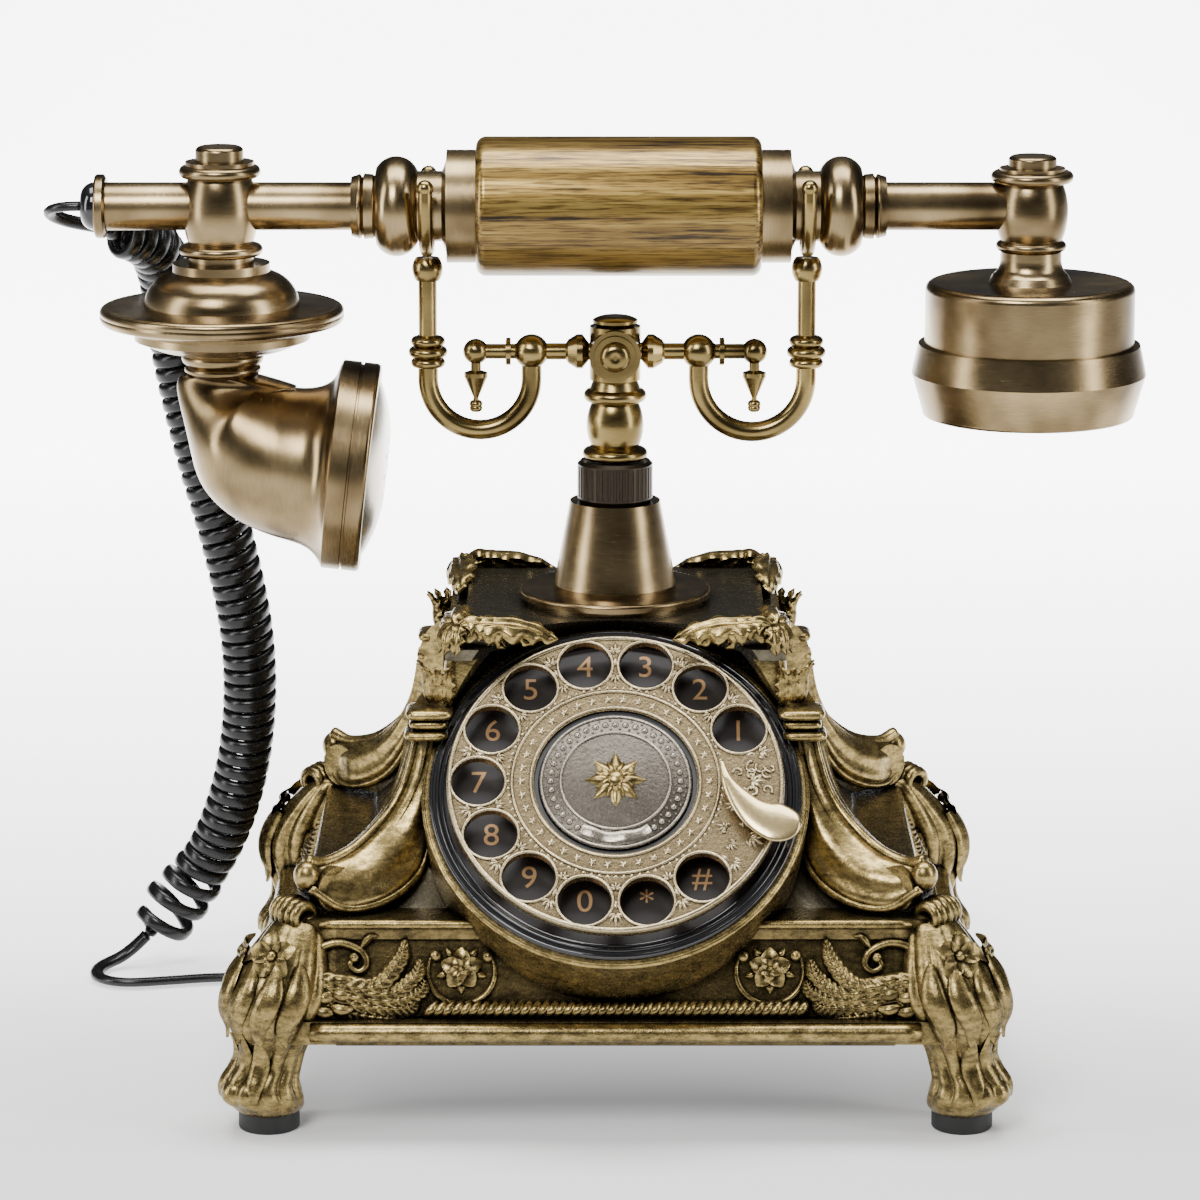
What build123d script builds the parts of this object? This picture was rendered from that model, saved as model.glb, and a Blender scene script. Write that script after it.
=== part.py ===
from build123d import *
import os
from math import cos, hypot, pi, radians, sin, tan

# A cradle telephone in an antique style. Millimetres, +Z up, the front faces -Y.
# The origin is on the floor, under the axis of the pedestal.

# ---------------------------------------------------------------- driving dimensions
TOUCH = 0.3  # gap between pieces of different bodies
RUN = 0.05  # radial clearance of a running fit

# base
FOOT_R, FOOT_H = 7.5, 4.5
FOOT_X, FOOT_Y = 85, 69
PLATE_Z0, PLATE_Z1 = 22.8, 24.3
MOULDING = (88, 80, 30)  # half width, half depth, top
FRIEZE_LOW = (82, 75, 30)
FRIEZE_TOP = (75, 69, 48)
LEDGE = (76, 70, 52.7)
CORNER_X, CORNER_Y = 68, 58  # inner edges of the corner blocks
WALL = 3
CASING_WALL = 3
CASING = [(64, 59, 52.7), (57, 52.5, 60), (50.5, 46.5, 70), (46, 42.5, 82), (43.5, 40.5, 96), (42, 39.5, 111)]
CASING_TOP = 112  # underside of the closed top
SHELF = (42, 42, 111, 113.7)
TOP_PLATE = (37.5, 37.5, 113.7, 117.5)
STRAP_TOP, STRAP_FOOT = (42, 38), (71.5, 61.5)
STRAP_W = 9
SCREW_AT, SCREW_R, SCREW_HEAD_R = (60, 50), 1.55, 2.8
GROMMET = (-52, 44)
GROMMET_R, GROMMET_FLANGE_R, GROMMET_BORE_R = 4, 5.4, 1.7
SPEAKER = (30, 20)
BOARD_Z, BOARD_T = 42, 1.6
BOARD_X, BOARD_Y = (-50, -2), (5, 38)

# dial: its own frame has the origin at the middle of the wheel's front face and +Z outwards
DIAL_POS = (0, -60, 85)
DIAL_TILT = 43.5  # the axis above the horizon
WHEEL_R, WHEEL_T = 41.3, 2
WHEEL_BORE_R = 20
HOLE_R, HOLE_PITCH_R, HOLE_STEP, HOLES = 6.5, 33.6, 360 / 14, 12
BEZEL_R, BEZEL_IN_R, BEZEL_TOP, BEZEL_LOW = 45.7, 41.9, -5, -20
HOUSING_R, HOUSING_TOP, HOUSING_LOW = 47.2, -6, -34
NUMBER_TOP, NUMBER_T = -6.5, 0.8
FLOOR_T = 1.2
SLEEVE_R, SLEEVE_LOW = 22, -17
FRAME_TOP, FRAME_T = -18.4, 1.6
GEAR_TEETH, PINION_TEETH, MODULE = 50, 10, 1.0
GEAR_W = (-16, -13)
GOVERNOR_ANGLE = 135
GOVERNOR_AT_R = (GEAR_TEETH + PINION_TEETH) / 2 * MODULE + 0.15
BUTTON_R, BUTTON_STEM_R = 18.6, 3
STOP_ANGLE, STOP_PIN_R, STOP_AT_R = -16, 0.9, 43.8

# pedestal and cradle
DISC_Z0, DISC_Z1, DISC_R = 117.5, 120.7, 24.2
CONE_R0, CONE_R1, CONE_TOP = 15.5, 11.4, 143
KNURL_R, KNURL_TOP, FLUTES = 9.5, 153.3, 40
PLUNGER_R, PLUNGER_LOW = 3.5, 92
FLANGE_R, FLANGE_Z = 6, 103
STEM_Z0, BLOCK_Z0, BLOCK_Z1, BLOCK_R = 153.6, 174, 187.5, 6.4
BOSS_Y = 8.2  # half length of the cross boss at the block
ARM_ROOT, ARM_R, ARM_ROOT_R = 5, 2.1, 2.2
FINIAL_X, FINIAL_BALL_R = 35, 3.2
ARM_Z, SPHERE_X, SPHERE_R = 181, 21, 4.35
YOKE_X = {-1: 47, 1: 48}  # how far the left and the right yoke stand from the middle
HOOK_TUBE_R, HOOK_Z = 2.5, 174
ROD_TOP = 199
FORK_R, FORK_TUBE_R, FORK_TIP = 13.8, 1.8, 224
SPRING_R, SPRING_WIRE, SPRING_Z0, SPRING_TURNS = 4.9, 0.45, 90, 5
BRACKET_Z = 88

# handset
AXIS_Z = 217.7
WIRE_R = 4.5
SEAT_R = 8.8
GRIP_X0, GRIP_X1, GRIP_R = -34.7, 36.5, 17.4
RING_L, RING_R = 7.3, 14.1
NECK_L = 23.8
TUBE_R = 6
STUB_X, LIP_X, BUSH_X = -127, -129.8, -133.4
SEND_X, HEAR_X = -98.6, 104
CORE_R, CORE_BORE_R = WIRE_R, 3.5
DISH_R, CUP_R, EAR_R = 30.5, 26.25, 29.4
CUP_TOP, CUP_LOW, EAR_LOW = 198.6, 183, 164.8
HORN_WALL = 1.8
BELL_R, BELL_L = 26.4, 9.5

# handset cord
CORD_D = 3.4
COIL_D = 14.5

os.makedirs("parts", exist_ok=True)


# ---------------------------------------------------------------- helpers
def save(node, *solids):
    """Writes one node. A node with several solids is a group of separate pieces."""
    shape = solids[0] if len(solids) == 1 else Compound(children=list(solids))
    export_step(shape, f"parts/{node}.step")


def lathe(steps, bore=0):
    """A solid turned about Z. Each step is (radius, height), with the bulge of the arc that leads to it if curved."""
    edges, here = [], Vector(bore, steps[0][1])
    for step in [*steps, (bore, steps[-1][1])]:
        there = Vector(step[0], step[1])
        if (there - here).length < 1e-6:
            continue
        if len(step) == 3:
            along = (there - here).normalized()
            middle = (here + there) / 2 + Vector(along.Y, -along.X) * step[2]
            edges.append(ThreePointArc(here, middle, there))
        else:
            edges.append(Line(here, there))
        here = there
    edges.append(Line(here, Vector(bore, steps[0][1])))
    return revolve(Plane.XZ * make_face(edges), Axis.Z)


def rod(radius, low, high):
    """A round bar along Z between two heights."""
    return Pos(0, 0, low) * Cylinder(radius, high - low, align=(Align.CENTER, Align.CENTER, Align.MIN))


def slab(half_x, half_y, low, high):
    """A plate centred on the Z axis."""
    return Pos(0, 0, low) * Box(2 * half_x, 2 * half_y, high - low, align=(Align.CENTER, Align.CENTER,
                                                                           Align.MIN))


def box(x0, x1, y0, y1, z0, z1):
    """A block between three pairs of planes."""
    return Pos(x0, y0, z0) * Box(x1 - x0, y1 - y0, z1 - z0, align=(Align.MIN, Align.MIN, Align.MIN))


def tower(sections, shrink=0, radius=3, ruled=False):
    """A lofted block through centred rectangles, each (half width, half depth, height)."""
    faces = [Pos(0, 0, z) * RectangleRounded(2 * (hx - shrink), 2 * (hy - shrink), radius) for hx, hy,
             z in sections]
    return loft(faces, ruled=ruled)


def half_ring(radius, tube_radius):
    """The lower half of a ring that stands in the XZ plane."""
    return Rot(90, 0, 0) * Torus(radius, tube_radius) & box(-100, 100, -100, 100, -100, 0)


def along_x(shape):
    """Lays a turned piece on the handset's axis, its own +Z towards +X."""
    return Pos(0, 0, AXIS_Z) * Rot(0, 90, 0) * shape


def in_dial(shape):
    """Places a piece from the dial's own frame."""
    return DIAL * shape


def polar(radius, angle):
    return radius * cos(radians(angle)), radius * sin(radians(angle))


def four(shape):
    """The shape at the +X +Y corner and its mirror images at the other three."""
    pair = [shape, mirror(shape, Plane.YZ)]
    return pair + [mirror(s, Plane.XZ) for s in pair]


def corners(x, y):
    return [(sx * x, sy * y) for sx in (-1, 1) for sy in (-1, 1)]


DIAL = Plane(origin=DIAL_POS, x_dir=(1, 0, 0),
             z_dir=(0, -cos(radians(DIAL_TILT)), sin(radians(DIAL_TILT)))).location


# ---------------------------------------------------------------- base
def plinth_block(shrink=0):
    """The lower casing's outline, filled, without the legs."""
    mx, my, mz = MOULDING
    low, top = FRIEZE_LOW, FRIEZE_TOP
    body = slab(mx - shrink, my - shrink, PLATE_Z1, mz)
    body += tower([low, top], shrink, 2, ruled=True)
    return body + slab(LEDGE[0] - shrink, LEDGE[1] - shrink, top[2], LEDGE[2])


def corner_blocks(grow=0):
    x, y = CORNER_X - grow, CORNER_Y - grow
    return four(box(x, 100, y, 100, 0, 60))


def dial_well():
    """The space that the dial housing takes out of the casings."""
    return in_dial(rod(HOUSING_R + 0.05, HOUSING_LOW - 0.05, 80))


def lower_casing():
    body = plinth_block()
    inside = plinth_block(WALL) & slab(100, 100, 0, LEDGE[2] - WALL)
    inside += slab(MOULDING[0] - WALL, MOULDING[1] - WALL, PLATE_Z1, MOULDING[2] - WALL)
    for block in corner_blocks(WALL):
        inside -= block
    body -= inside
    body -= slab(CASING[0][0] - CASING_WALL - 3, CASING[0][1] - CASING_WALL - 3, 40, 60)
    for block in corner_blocks():
        body -= block
    body -= dial_well()
    body -= box(-8, 8, 60, 90, 33, 43)
    return body.solids().sort_by(SortBy.VOLUME)[-1]


def leg():
    """The leg at +X +Y: a cabriole with a toe and a knee, and the casing's corner that it carries."""
    rings = [(FOOT_X, FOOT_Y, FOOT_H, 8), (86, 70, 8, 9), (85, 69.5, 14, 8.6), (83.6, 69.2, 20, 8.6),
             (83, 71.5, 27, 11.5), (82.4, 71.5, 34, 12), (80, 68.5, 44, 9.5), (77.5, 64, 52.7, 5)]
    shape = loft([Pos(x, y, z) * Circle(r) for x, y, z, r in rings])
    shape -= box(0, CORNER_X, 0, 100, PLATE_Z0, 60) + box(0, 100, 0, CORNER_Y, PLATE_Z0, 60)
    carried = plinth_block() & box(CORNER_X, 100, CORNER_Y, 100, PLATE_Z1, 60)
    return shape + carried


def strap():
    """The concave strap at the +X +Y corner, which ends in a volute."""
    (x0, y0), (x1, y1) = STRAP_TOP, STRAP_FOOT
    run = hypot(x1 - x0, y1 - y0)
    plane = Plane(origin=(x0, y0, 0), x_dir=((x1 - x0) / run, (y1 - y0) / run, 0),
                  z_dir=((y1 - y0) / run, -(x1 - x0) / run, 0))
    upper = Spline([(0, 104), (7, 98), (11, 84), (20, 71), (run, 63)])
    face = make_face(upper + Polyline([(run, 63), (run, 53.5), (0, 53.5), (0, 104)]))
    volute = Pos(run - 1, 59) * Circle(5.6)
    return extrude(plane * (face + volute), STRAP_W / 2, both=True)


def upper_casing():
    body = tower(CASING)
    for piece in four(strap()):
        body += piece
    body += slab(*SHELF) + slab(*TOP_PLATE)
    body -= tower([(hx, hy, z) for hx, hy, z in CASING], CASING_WALL, 2)
    body -= slab(CASING[-1][0] - CASING_WALL, CASING[-1][1] - CASING_WALL, 108, CASING_TOP)
    body -= dial_well() + rod(WIRE_R, 100, 120)
    return body.solids().sort_by(SortBy.VOLUME)[-1]


def dial_housing():
    ring = in_dial(lathe([(HOUSING_R, HOUSING_LOW), (HOUSING_R, HOUSING_TOP - 1.5), (46.4, HOUSING_TOP, 0.3)],
                         BEZEL_R))
    return ring - box(-60, 60, -12, 60, 0, 120)


def bottom_plate():
    plate = slab(MOULDING[0] - 4, MOULDING[1] - 4, PLATE_Z0, PLATE_Z1)
    for block in corner_blocks():
        plate -= block
    for x, y in corners(*SCREW_AT):
        plate -= Pos(x, y) * rod(SCREW_R + RUN, 20, 30)
    plate -= Pos(*GROMMET) * rod(GROMMET_R, 20, 30)
    for i in range(5):
        for j in range(5):
            plate -= Pos(SPEAKER[0] + 5 * (i - 2), SPEAKER[1] + 5 * (j - 2)) * rod(1.1, 20, 30)
    return plate


def bottom_screw():
    return rod(SCREW_HEAD_R, PLATE_Z0 - 1.3, PLATE_Z0) + rod(SCREW_R, PLATE_Z0, 33)


def screw_post():
    """A boss of the lower casing for one bottom screw."""
    return rod(4, PLATE_Z1, 36) - rod(SCREW_R, 20, 33)


save("lower_casing", lower_casing())
save("legs", *four(leg()))
save("rubber_feet", *[Pos(x, y) * lathe([(FOOT_R - 0.7, 0), (FOOT_R, 0.7, 0.2), (FOOT_R, FOOT_H)])
                      for x, y in corners(FOOT_X, FOOT_Y)])
save("upper_casing", upper_casing())
save("dial_housing", dial_housing())
save("bottom_plate", bottom_plate())
save("bottom_screws", *[Pos(x, y) * bottom_screw() for x, y in corners(*SCREW_AT)])
save("cord_grommet", Pos(*GROMMET) * lathe(
    [(GROMMET_FLANGE_R, PLATE_Z0 - 1.2), (GROMMET_FLANGE_R, PLATE_Z0), (GROMMET_R, PLATE_Z0), (GROMMET_R, PLATE_Z1),
     (GROMMET_FLANGE_R, PLATE_Z1), (GROMMET_FLANGE_R, PLATE_Z1 + 1.5)], GROMMET_BORE_R))
save("circuit_board", box(*BOARD_X, *BOARD_Y, BOARD_Z, BOARD_Z + BOARD_T))
save("standoffs", *[Pos(x, y) * screw_post() for x, y in corners(*SCREW_AT)],
     *[Pos(x, y) * rod(2.5, PLATE_Z1, BOARD_Z) for x, y in ((-46, 9), (-46, 34), (-6, 9), (-6, 34))])
save("loudspeaker", Pos(*SPEAKER) * lathe(
    [(19, PLATE_Z1), (19, PLATE_Z1 + 2), (11, PLATE_Z1 + 8), (11, PLATE_Z1 + 12)]),
    Pos(*SPEAKER) * lathe([(22, PLATE_Z1), (22, PLATE_Z1 + 3)], 19))
save("base_microphone", Pos(0, -50) * lathe([(3, PLATE_Z1), (3, PLATE_Z1 + 5)]))

save("line_jack", box(-8, 8, 60, 73.5, 33, 43) - box(-5, 5, 62, 80, 34.5, 41.5))


# ---------------------------------------------------------------- dial
def toothed(teeth, half_tooth, root, tip, low, high, bore):
    """A simple gear with narrow straight-sided teeth."""
    wheel = rod(root, low, high)
    tooth = extrude(Polygon((root - 0.8, -half_tooth), (tip, -half_tooth * 0.45), (tip, half_tooth * 0.45),
                            (root - 0.8, half_tooth), align=None), high - low)
    for i in range(teeth):
        wheel += Rot(0, 0, 360 * i / teeth) * Pos(0, 0, low) * tooth
    return wheel - rod(bore, low - 1, high + 1)


def finger_wheel():
    wheel = lathe([(WHEEL_R, -WHEEL_T), (WHEEL_R, -0.6), (WHEEL_R - 0.6, 0, 0.17)], WHEEL_BORE_R)
    for k in range(1, HOLES + 1):
        x, y = polar(HOLE_PITCH_R, k * HOLE_STEP)
        wheel -= Pos(x, y) * rod(HOLE_R, -5, 5)
    return wheel


def finger_stop():
    """The comma-shaped lever over the wheel and the pin that guides it."""
    tip, end = polar(26, 2), polar(43.5, STOP_ANGLE)
    blade = make_hull([*Circle(1.4).locate(Location((*tip, 0))).edges(),
                       *Circle(3.6).locate(Location((*polar(37, -8), 0))).edges()])
    blade += make_hull([*Circle(3.6).locate(Location((*polar(37, -8), 0))).edges(),
                        *Circle(4.4).locate(Location((*end, 0))).edges()])
    lever = extrude(Pos(0, 0, 1.7) * blade, 1.9)
    return lever + Pos(*polar(STOP_AT_R, STOP_ANGLE)) * rod(STOP_PIN_R, -15, 1.7)


bezel = lathe([(BEZEL_R, BEZEL_LOW), (BEZEL_R, BEZEL_TOP - 1), (BEZEL_R - 1, BEZEL_TOP, 0.3),
               (BEZEL_IN_R + 0.5, BEZEL_TOP)], BEZEL_IN_R)
bezel += lathe([(BEZEL_IN_R, NUMBER_TOP - NUMBER_T - FLOOR_T), (BEZEL_IN_R, NUMBER_TOP - NUMBER_T)],
               SLEEVE_R + 0.5)
bezel -= Pos(*polar(STOP_AT_R, STOP_ANGLE)) * rod(STOP_PIN_R + RUN, -30, 5)
save("dial_bezel", in_dial(bezel))
save("number_plate", in_dial(lathe([(BEZEL_IN_R, NUMBER_TOP - NUMBER_T), (BEZEL_IN_R, NUMBER_TOP)],
                                   SLEEVE_R + 0.5)))
save("finger_wheel", in_dial(finger_wheel()))
sleeve = lathe([(SLEEVE_R, SLEEVE_LOW), (SLEEVE_R, -WHEEL_T)], WHEEL_BORE_R)
save("dial_sleeve_gear", in_dial(sleeve + toothed(GEAR_TEETH, 0.55, 24, 25.7, *GEAR_W, SLEEVE_R - 0.5)))
mesh_turn = GOVERNOR_ANGLE + 180 + 180 / PINION_TEETH
pinion = Rot(0, 0, mesh_turn) * toothed(PINION_TEETH, 0.5, 4, 5.7, GEAR_W[0] - 0.2, GEAR_W[1] + 0.2, 1)
governor = pinion + rod(1.2, -27, -12) + rod(7, -27, -22)
save("governor", in_dial(Pos(*polar(GOVERNOR_AT_R, GOVERNOR_ANGLE)) * governor))
frame = lathe([(BEZEL_IN_R, FRAME_TOP - FRAME_T), (BEZEL_IN_R, FRAME_TOP)], WHEEL_BORE_R - 1.05)
frame -= Pos(*polar(GOVERNOR_AT_R, GOVERNOR_ANGLE)) * rod(1.2 + RUN, -30, -10)
save("dial_frame", in_dial(frame))
core = lathe([(WHEEL_BORE_R - RUN, FRAME_TOP), (WHEEL_BORE_R - RUN, -0.8)], BUTTON_R + TOUCH)
core += lathe([(WHEEL_BORE_R - 1.05, -20), (WHEEL_BORE_R - 1.05, FRAME_TOP)], BUTTON_R + TOUCH)
core += lathe([(BUTTON_R + 0.5, -9), (BUTTON_R + 0.5, -6.5)], BUTTON_STEM_R + RUN)
save("dial_core", in_dial(core))
save("return_spring", in_dial(Rot(0, 0, 20) * (
    lathe([(23.2, -11.8), (23.2, -10)], SLEEVE_R + 0.3) + lathe([(29, -11.8), (29, -10)], 28)
    + box(23, 28.2, -0.5, 0.5, -11.8, -10))))
save("contact_board", in_dial(rod(BUTTON_R + TOUCH, -14.5, -13)), in_dial(rod(3.2, -13, -11)))
save("hands_free_button", in_dial(lathe(
    [(BUTTON_STEM_R, -9.2), (BUTTON_STEM_R, -2.6), (BUTTON_R, -2.6), (BUTTON_R, -0.2), (13.5, 0.5),
     (0.01, 1.2)])))
save("finger_stop", in_dial(finger_stop()))


# ---------------------------------------------------------------- pedestal and cradle
save("pedestal_disc", lathe([(22.4, DISC_Z0), (22.4, DISC_Z0 + 1), (DISC_R, DISC_Z0 + 1.2),
                             (DISC_R, DISC_Z1 - 0.8),
                             (DISC_R - 0.8, DISC_Z1, 0.2)], WIRE_R))
cone = lathe([(CONE_R0, DISC_Z1), (CONE_R0, DISC_Z1 + 1), (CONE_R1, CONE_TOP)], WIRE_R)
cone -= lathe([(CONE_R0 - 2.5, DISC_Z1), (CONE_R1 - 1.8, CONE_TOP - 3)])
save("pedestal_cone", cone)
knurl = lathe([(KNURL_R - 0.8, CONE_TOP), (KNURL_R, CONE_TOP + 0.8), (KNURL_R, KNURL_TOP - 0.8),
               (KNURL_R - 0.8, KNURL_TOP)], PLUNGER_R + RUN)
for i in range(FLUTES):
    knurl -= Rot(0, 0, 360 * i / FLUTES) * Pos(KNURL_R + 0.12, 0) * rod(0.45, CONE_TOP + 1.2, KNURL_TOP - 1.2)
save("knurled_collar", knurl)
save("plunger_rod", lathe([(PLUNGER_R - 1, PLUNGER_LOW), (PLUNGER_R - 1, FLANGE_Z), (FLANGE_R, FLANGE_Z),
                           (FLANGE_R, FLANGE_Z + 1.5), (PLUNGER_R, FLANGE_Z + 1.5), (PLUNGER_R, STEM_Z0)]))
save("cradle_stem", lathe([
    (7.2, STEM_Z0), (7.2, 156.4, 1), (5.9, 156.8), (5.9, 168, 1.3), (6.9, 168.4), (6.9, 171.4, 1),
    (6.4, 171.6), (5.5, BLOCK_Z0)]))
block = rod(BLOCK_R, BLOCK_Z0, BLOCK_Z1) + Pos(0, 0, ARM_Z) * Rot(90, 0, 0) * Cylinder(BLOCK_R, 2 * BOSS_Y)
block -= Pos(0, 0, ARM_Z) * Rot(0, 90, 0) * (rod(ARM_ROOT_R, ARM_ROOT, 10) + rod(ARM_ROOT_R, -10, -ARM_ROOT))
save("cradle_block", block)
block_cap = lathe([(4.6, BLOCK_Z1), (5.65, BLOCK_Z1 + 0.9), (5.65, BLOCK_Z1 + 1.6), (2.2, BLOCK_Z1 + 2.6, 0.3)])
save("cradle_caps", block_cap, *[Pos(0, 0, ARM_Z) * Rot(90 * s, 0, 0) * lathe(
    [(5.2, BOSS_Y), (5.2, BOSS_Y + 0.8), (3.8, BOSS_Y + 0.8), (3.8, BOSS_Y + 1.2), (0.6, BOSS_Y + 2.6, 0.7)])
    for s in (1, -1)])


def cradle_side(side):
    """One arm with its finial, J hook and yoke. side is -1 on the left and 1 on the right."""
    turn = Pos(0, 0, ARM_Z) * Rot(0, 90 * side, 0)
    arm = turn * lathe([
        (ARM_ROOT_R, ARM_ROOT), (ARM_ROOT_R, BLOCK_R + 0.2), (4.35, 8.2), (4.35, 9.6), (3, 11.8), (ARM_R, 12.4),
        (ARM_R, 24.8), (1.9, 25.2), (1.9, 26.2), (3.45, 26.2), (3.45, 27.4), (1.9, 27.6), (1.9, FINIAL_X)])
    arm += Pos(side * SPHERE_X, 0, ARM_Z) * Sphere(SPHERE_R)
    arm += Pos(side * FINIAL_X, 0, ARM_Z) * Sphere(FINIAL_BALL_R)
    finial = Pos(side * FINIAL_X) * lathe([(0.6, 165.6), (1.5, 167, 0.5), (0.7, 168.6, 0.5), (0.7, 169.4),
                                           (2.95, 174.6),
                                     (2.95, 175.6), (1.3, 176.2), (1.3, 178.6)])
    finial -= Pos(side * FINIAL_X, 0, ARM_Z) * Sphere(FINIAL_BALL_R)
    yoke_x = side * YOKE_X[side]
    hook = Pos((side * SPHERE_X + yoke_x) / 2, 0, HOOK_Z) * half_ring((YOKE_X[side] - SPHERE_X) / 2,
                                                                      HOOK_TUBE_R)
    hook += Pos(side * SPHERE_X) * rod(HOOK_TUBE_R, HOOK_Z, ARM_Z)
    hook += Pos(yoke_x) * rod(HOOK_TUBE_R, HOOK_Z, ARM_Z)
    hook -= Pos(side * SPHERE_X, 0, ARM_Z) * Sphere(SPHERE_R)
    beads = lathe([(3.4, 177), (3.4, 179.4, 0.9), (3.9, 179.6), (3.9, 182.2, 1), (3.4, 182.4), (3.4, 184.8, 0.9),
                   (2.3, 185.2), (2.3, ROD_TOP)])
    hook += Pos(yoke_x) * beads
    yoke_z = AXIS_Z - SEAT_R - TOUCH + FORK_R - FORK_TUBE_R
    neck = Pos(yoke_x) * lathe([(2.9, ROD_TOP), (2.9, 204.8, 0.95)])
    fork = Pos(yoke_x, 0, yoke_z) * Rot(0, 0, 90) * half_ring(FORK_R, FORK_TUBE_R)
    for y in (-FORK_R, FORK_R):
        fork += Pos(yoke_x, y) * rod(FORK_TUBE_R, yoke_z, FORK_TIP)
        fork += Pos(yoke_x, y, FORK_TIP) * Sphere(2.1)
    return arm, finial, hook, fork + neck


arm_l, finial_l, hook_l, yoke_l = cradle_side(-1)
arm_r, finial_r, hook_r, yoke_r = cradle_side(1)
save("cradle_arms", arm_l, arm_r)
save("finials", finial_l, finial_r)
save("cradle_hooks", hook_l, hook_r)
save("yokes", yoke_l, yoke_r)

coil = Helix(pitch=(FLANGE_Z - SPRING_Z0 - 1.2) / SPRING_TURNS, height=FLANGE_Z - SPRING_Z0 - 1.2,
             radius=SPRING_R)
wire_plane = Plane(origin=coil @ 0, z_dir=coil % 0)
save("hook_spring", Pos(0, 0, SPRING_Z0 + 0.6) * sweep(wire_plane * Circle(SPRING_WIRE), path=coil))
bracket = slab(9, 7, BRACKET_Z, SPRING_Z0) - rod(PLUNGER_R - 0.7, 80, 100)
for s in (-1, 1):
    bracket += box(*sorted((s * 9, s * 11)), -7, 7, BRACKET_Z, CASING_TOP)
save("hook_switch", bracket, box(-5, 5, -6, 6, 80, BRACKET_Z))


# ---------------------------------------------------------------- handset
def neck_profile():
    """A turned neck: flare at the ring collar, seat for the yoke, ball ring, collar and lip."""
    return [(12, 0), (SEAT_R, 1.2), (SEAT_R, 7.2), (9.6, 7.6), (9.6, 17.6, 2.9), (7.6, 18), (8, 18.4),
            (8.2, 20.6),
            (7.2, 21), (7.6, 21.3), (7.9, 22.2, 0.3), (7.4, NECK_L)]


def post(steps, x):
    return Pos(x) * lathe(steps)


ring_l = GRIP_X0 - RING_L
ring_r = GRIP_X1 + RING_L
grip = lathe([(GRIP_R - 2.2, GRIP_X0), (GRIP_R, GRIP_X0 + 2.4, 0.6), (GRIP_R, GRIP_X1 - 2.4),
              (GRIP_R - 2.2, GRIP_X1, 0.6)], CORE_R)
save("grip_sleeve", along_x(grip))
save("ring_collars", *[along_x(lathe([(RING_R, a), (RING_R, a + RING_L)], CORE_R)) for a in (ring_l, GRIP_X1)])
neck = lathe(neck_profile(), CORE_R)
save("turned_necks", Pos(ring_l, 0, AXIS_Z) * Rot(0, -90, 0) * neck, Pos(ring_r, 0, AXIS_Z) * Rot(0, 90, 0) * neck)
tube_l, tube_r = ring_l - NECK_L, ring_r + NECK_L
save("grip_core_tube", along_x(lathe([(CORE_R, tube_l), (CORE_R, tube_r)], CORE_BORE_R)))

send_post = post([(8.15, 203.5), (8.15, 205.2), (9, 205.4), (9, 208.2, 1.5), (8.15, 208.6), (8, 224.6, 1.35),
                  (8.8, 224.9), (8.8, 228, 1.4)], SEND_X)
hear_post = post([(10.5, 198.6), (9.5, 200.4), (7.65, 204.4, -0.5), (7.65, 206.4), (7.9, 206.6),
                  (7.9, 209, 0.9),
                  (7.7, 209.2), (7.7, 223.4, 1.4), (8.9, 223.7), (8.9, 226.6, 1.4)], HEAR_X)
wires_l = along_x(rod(CORE_BORE_R, -120, -97)) + Pos(SEND_X) * rod(CORE_BORE_R, 200, AXIS_Z)
wires_r = along_x(rod(CORE_BORE_R, 90, 105)) + Pos(HEAR_X) * rod(CORE_BORE_R, 190, AXIS_Z)
save("transmitter_post", send_post - wires_l)
save("receiver_post", hear_post - wires_r)
save("post_caps",
     post([(8.6, 228), (8.6, 229), (6, 229.2), (6, 231.8), (4.5, 232.8, 0.3)], SEND_X),
     post([(8.2, 226.6), (8.2, 227.4), (6, 227.6), (6, 229.6), (4.5, 230.4, 0.3)], HEAR_X))
save("handset_tubes", along_x(lathe([(TUBE_R, SEND_X), (TUBE_R, tube_l)], CORE_BORE_R)) - send_post,
     along_x(lathe([(TUBE_R, tube_r), (TUBE_R, HEAR_X)], CORE_BORE_R)) - hear_post)
stub = lathe([(7.4, LIP_X), (8, LIP_X + 0.8, 0.2), (8, STUB_X - 0.6), (7, STUB_X), (TUBE_R, STUB_X),
              (TUBE_R, SEND_X)],
             CORE_BORE_R)
save("end_stub", along_x(stub) - send_post)
save("cord_bush", along_x(lathe([(3, BUSH_X), (6, LIP_X, 0.9)], 1.2) + lathe(
    [(CORE_BORE_R, LIP_X), (CORE_BORE_R, LIP_X + 6)], 1.2)))

save("transmitter_dome", post([(19.5, 193), (14.5, 200.4, 1.2), (12.2, 201.4), (12.2, 203.5)], SEND_X)
     - Pos(SEND_X) * rod(CORE_BORE_R, 190, 205))
save("drip_dish", post([(10.3, 181.2), (19, 183.2, 0.6), (22, 184.4), (22, 186.2), (28.6, 188.4),
                        (DISH_R, 190.6, 0.9),
                        (28.6, 192.6, 0.9), (19.5, 193)], SEND_X) - Pos(SEND_X) * rod(CORE_BORE_R, 180, 195))
save("horn_collar", post([(8.4, 175), (9, 175.6), (9, 177.6, 0.6), (9.4, 178), (9.4, 181.2, 0.9)], SEND_X)
     - Pos(SEND_X) * rod(CORE_BORE_R, 170, 185))

HORN = [((-107, 175), (-90.2, 175)), ((-108, 160.5), (-87.7, 173.4)), ((-104.5, 147.5), (-85, 172.7)),
        ((-95.8, 138.4), (-82, 172)), ((-82.5, 132.8), (-78.3, 171.4)), ((-78.4, 131.2), (-74, 171.9)),
        ((-75.6, 128.6), (-70.4, 174.3)), ((-74.3, 126.1), (-68.1, 178.5))]


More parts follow.
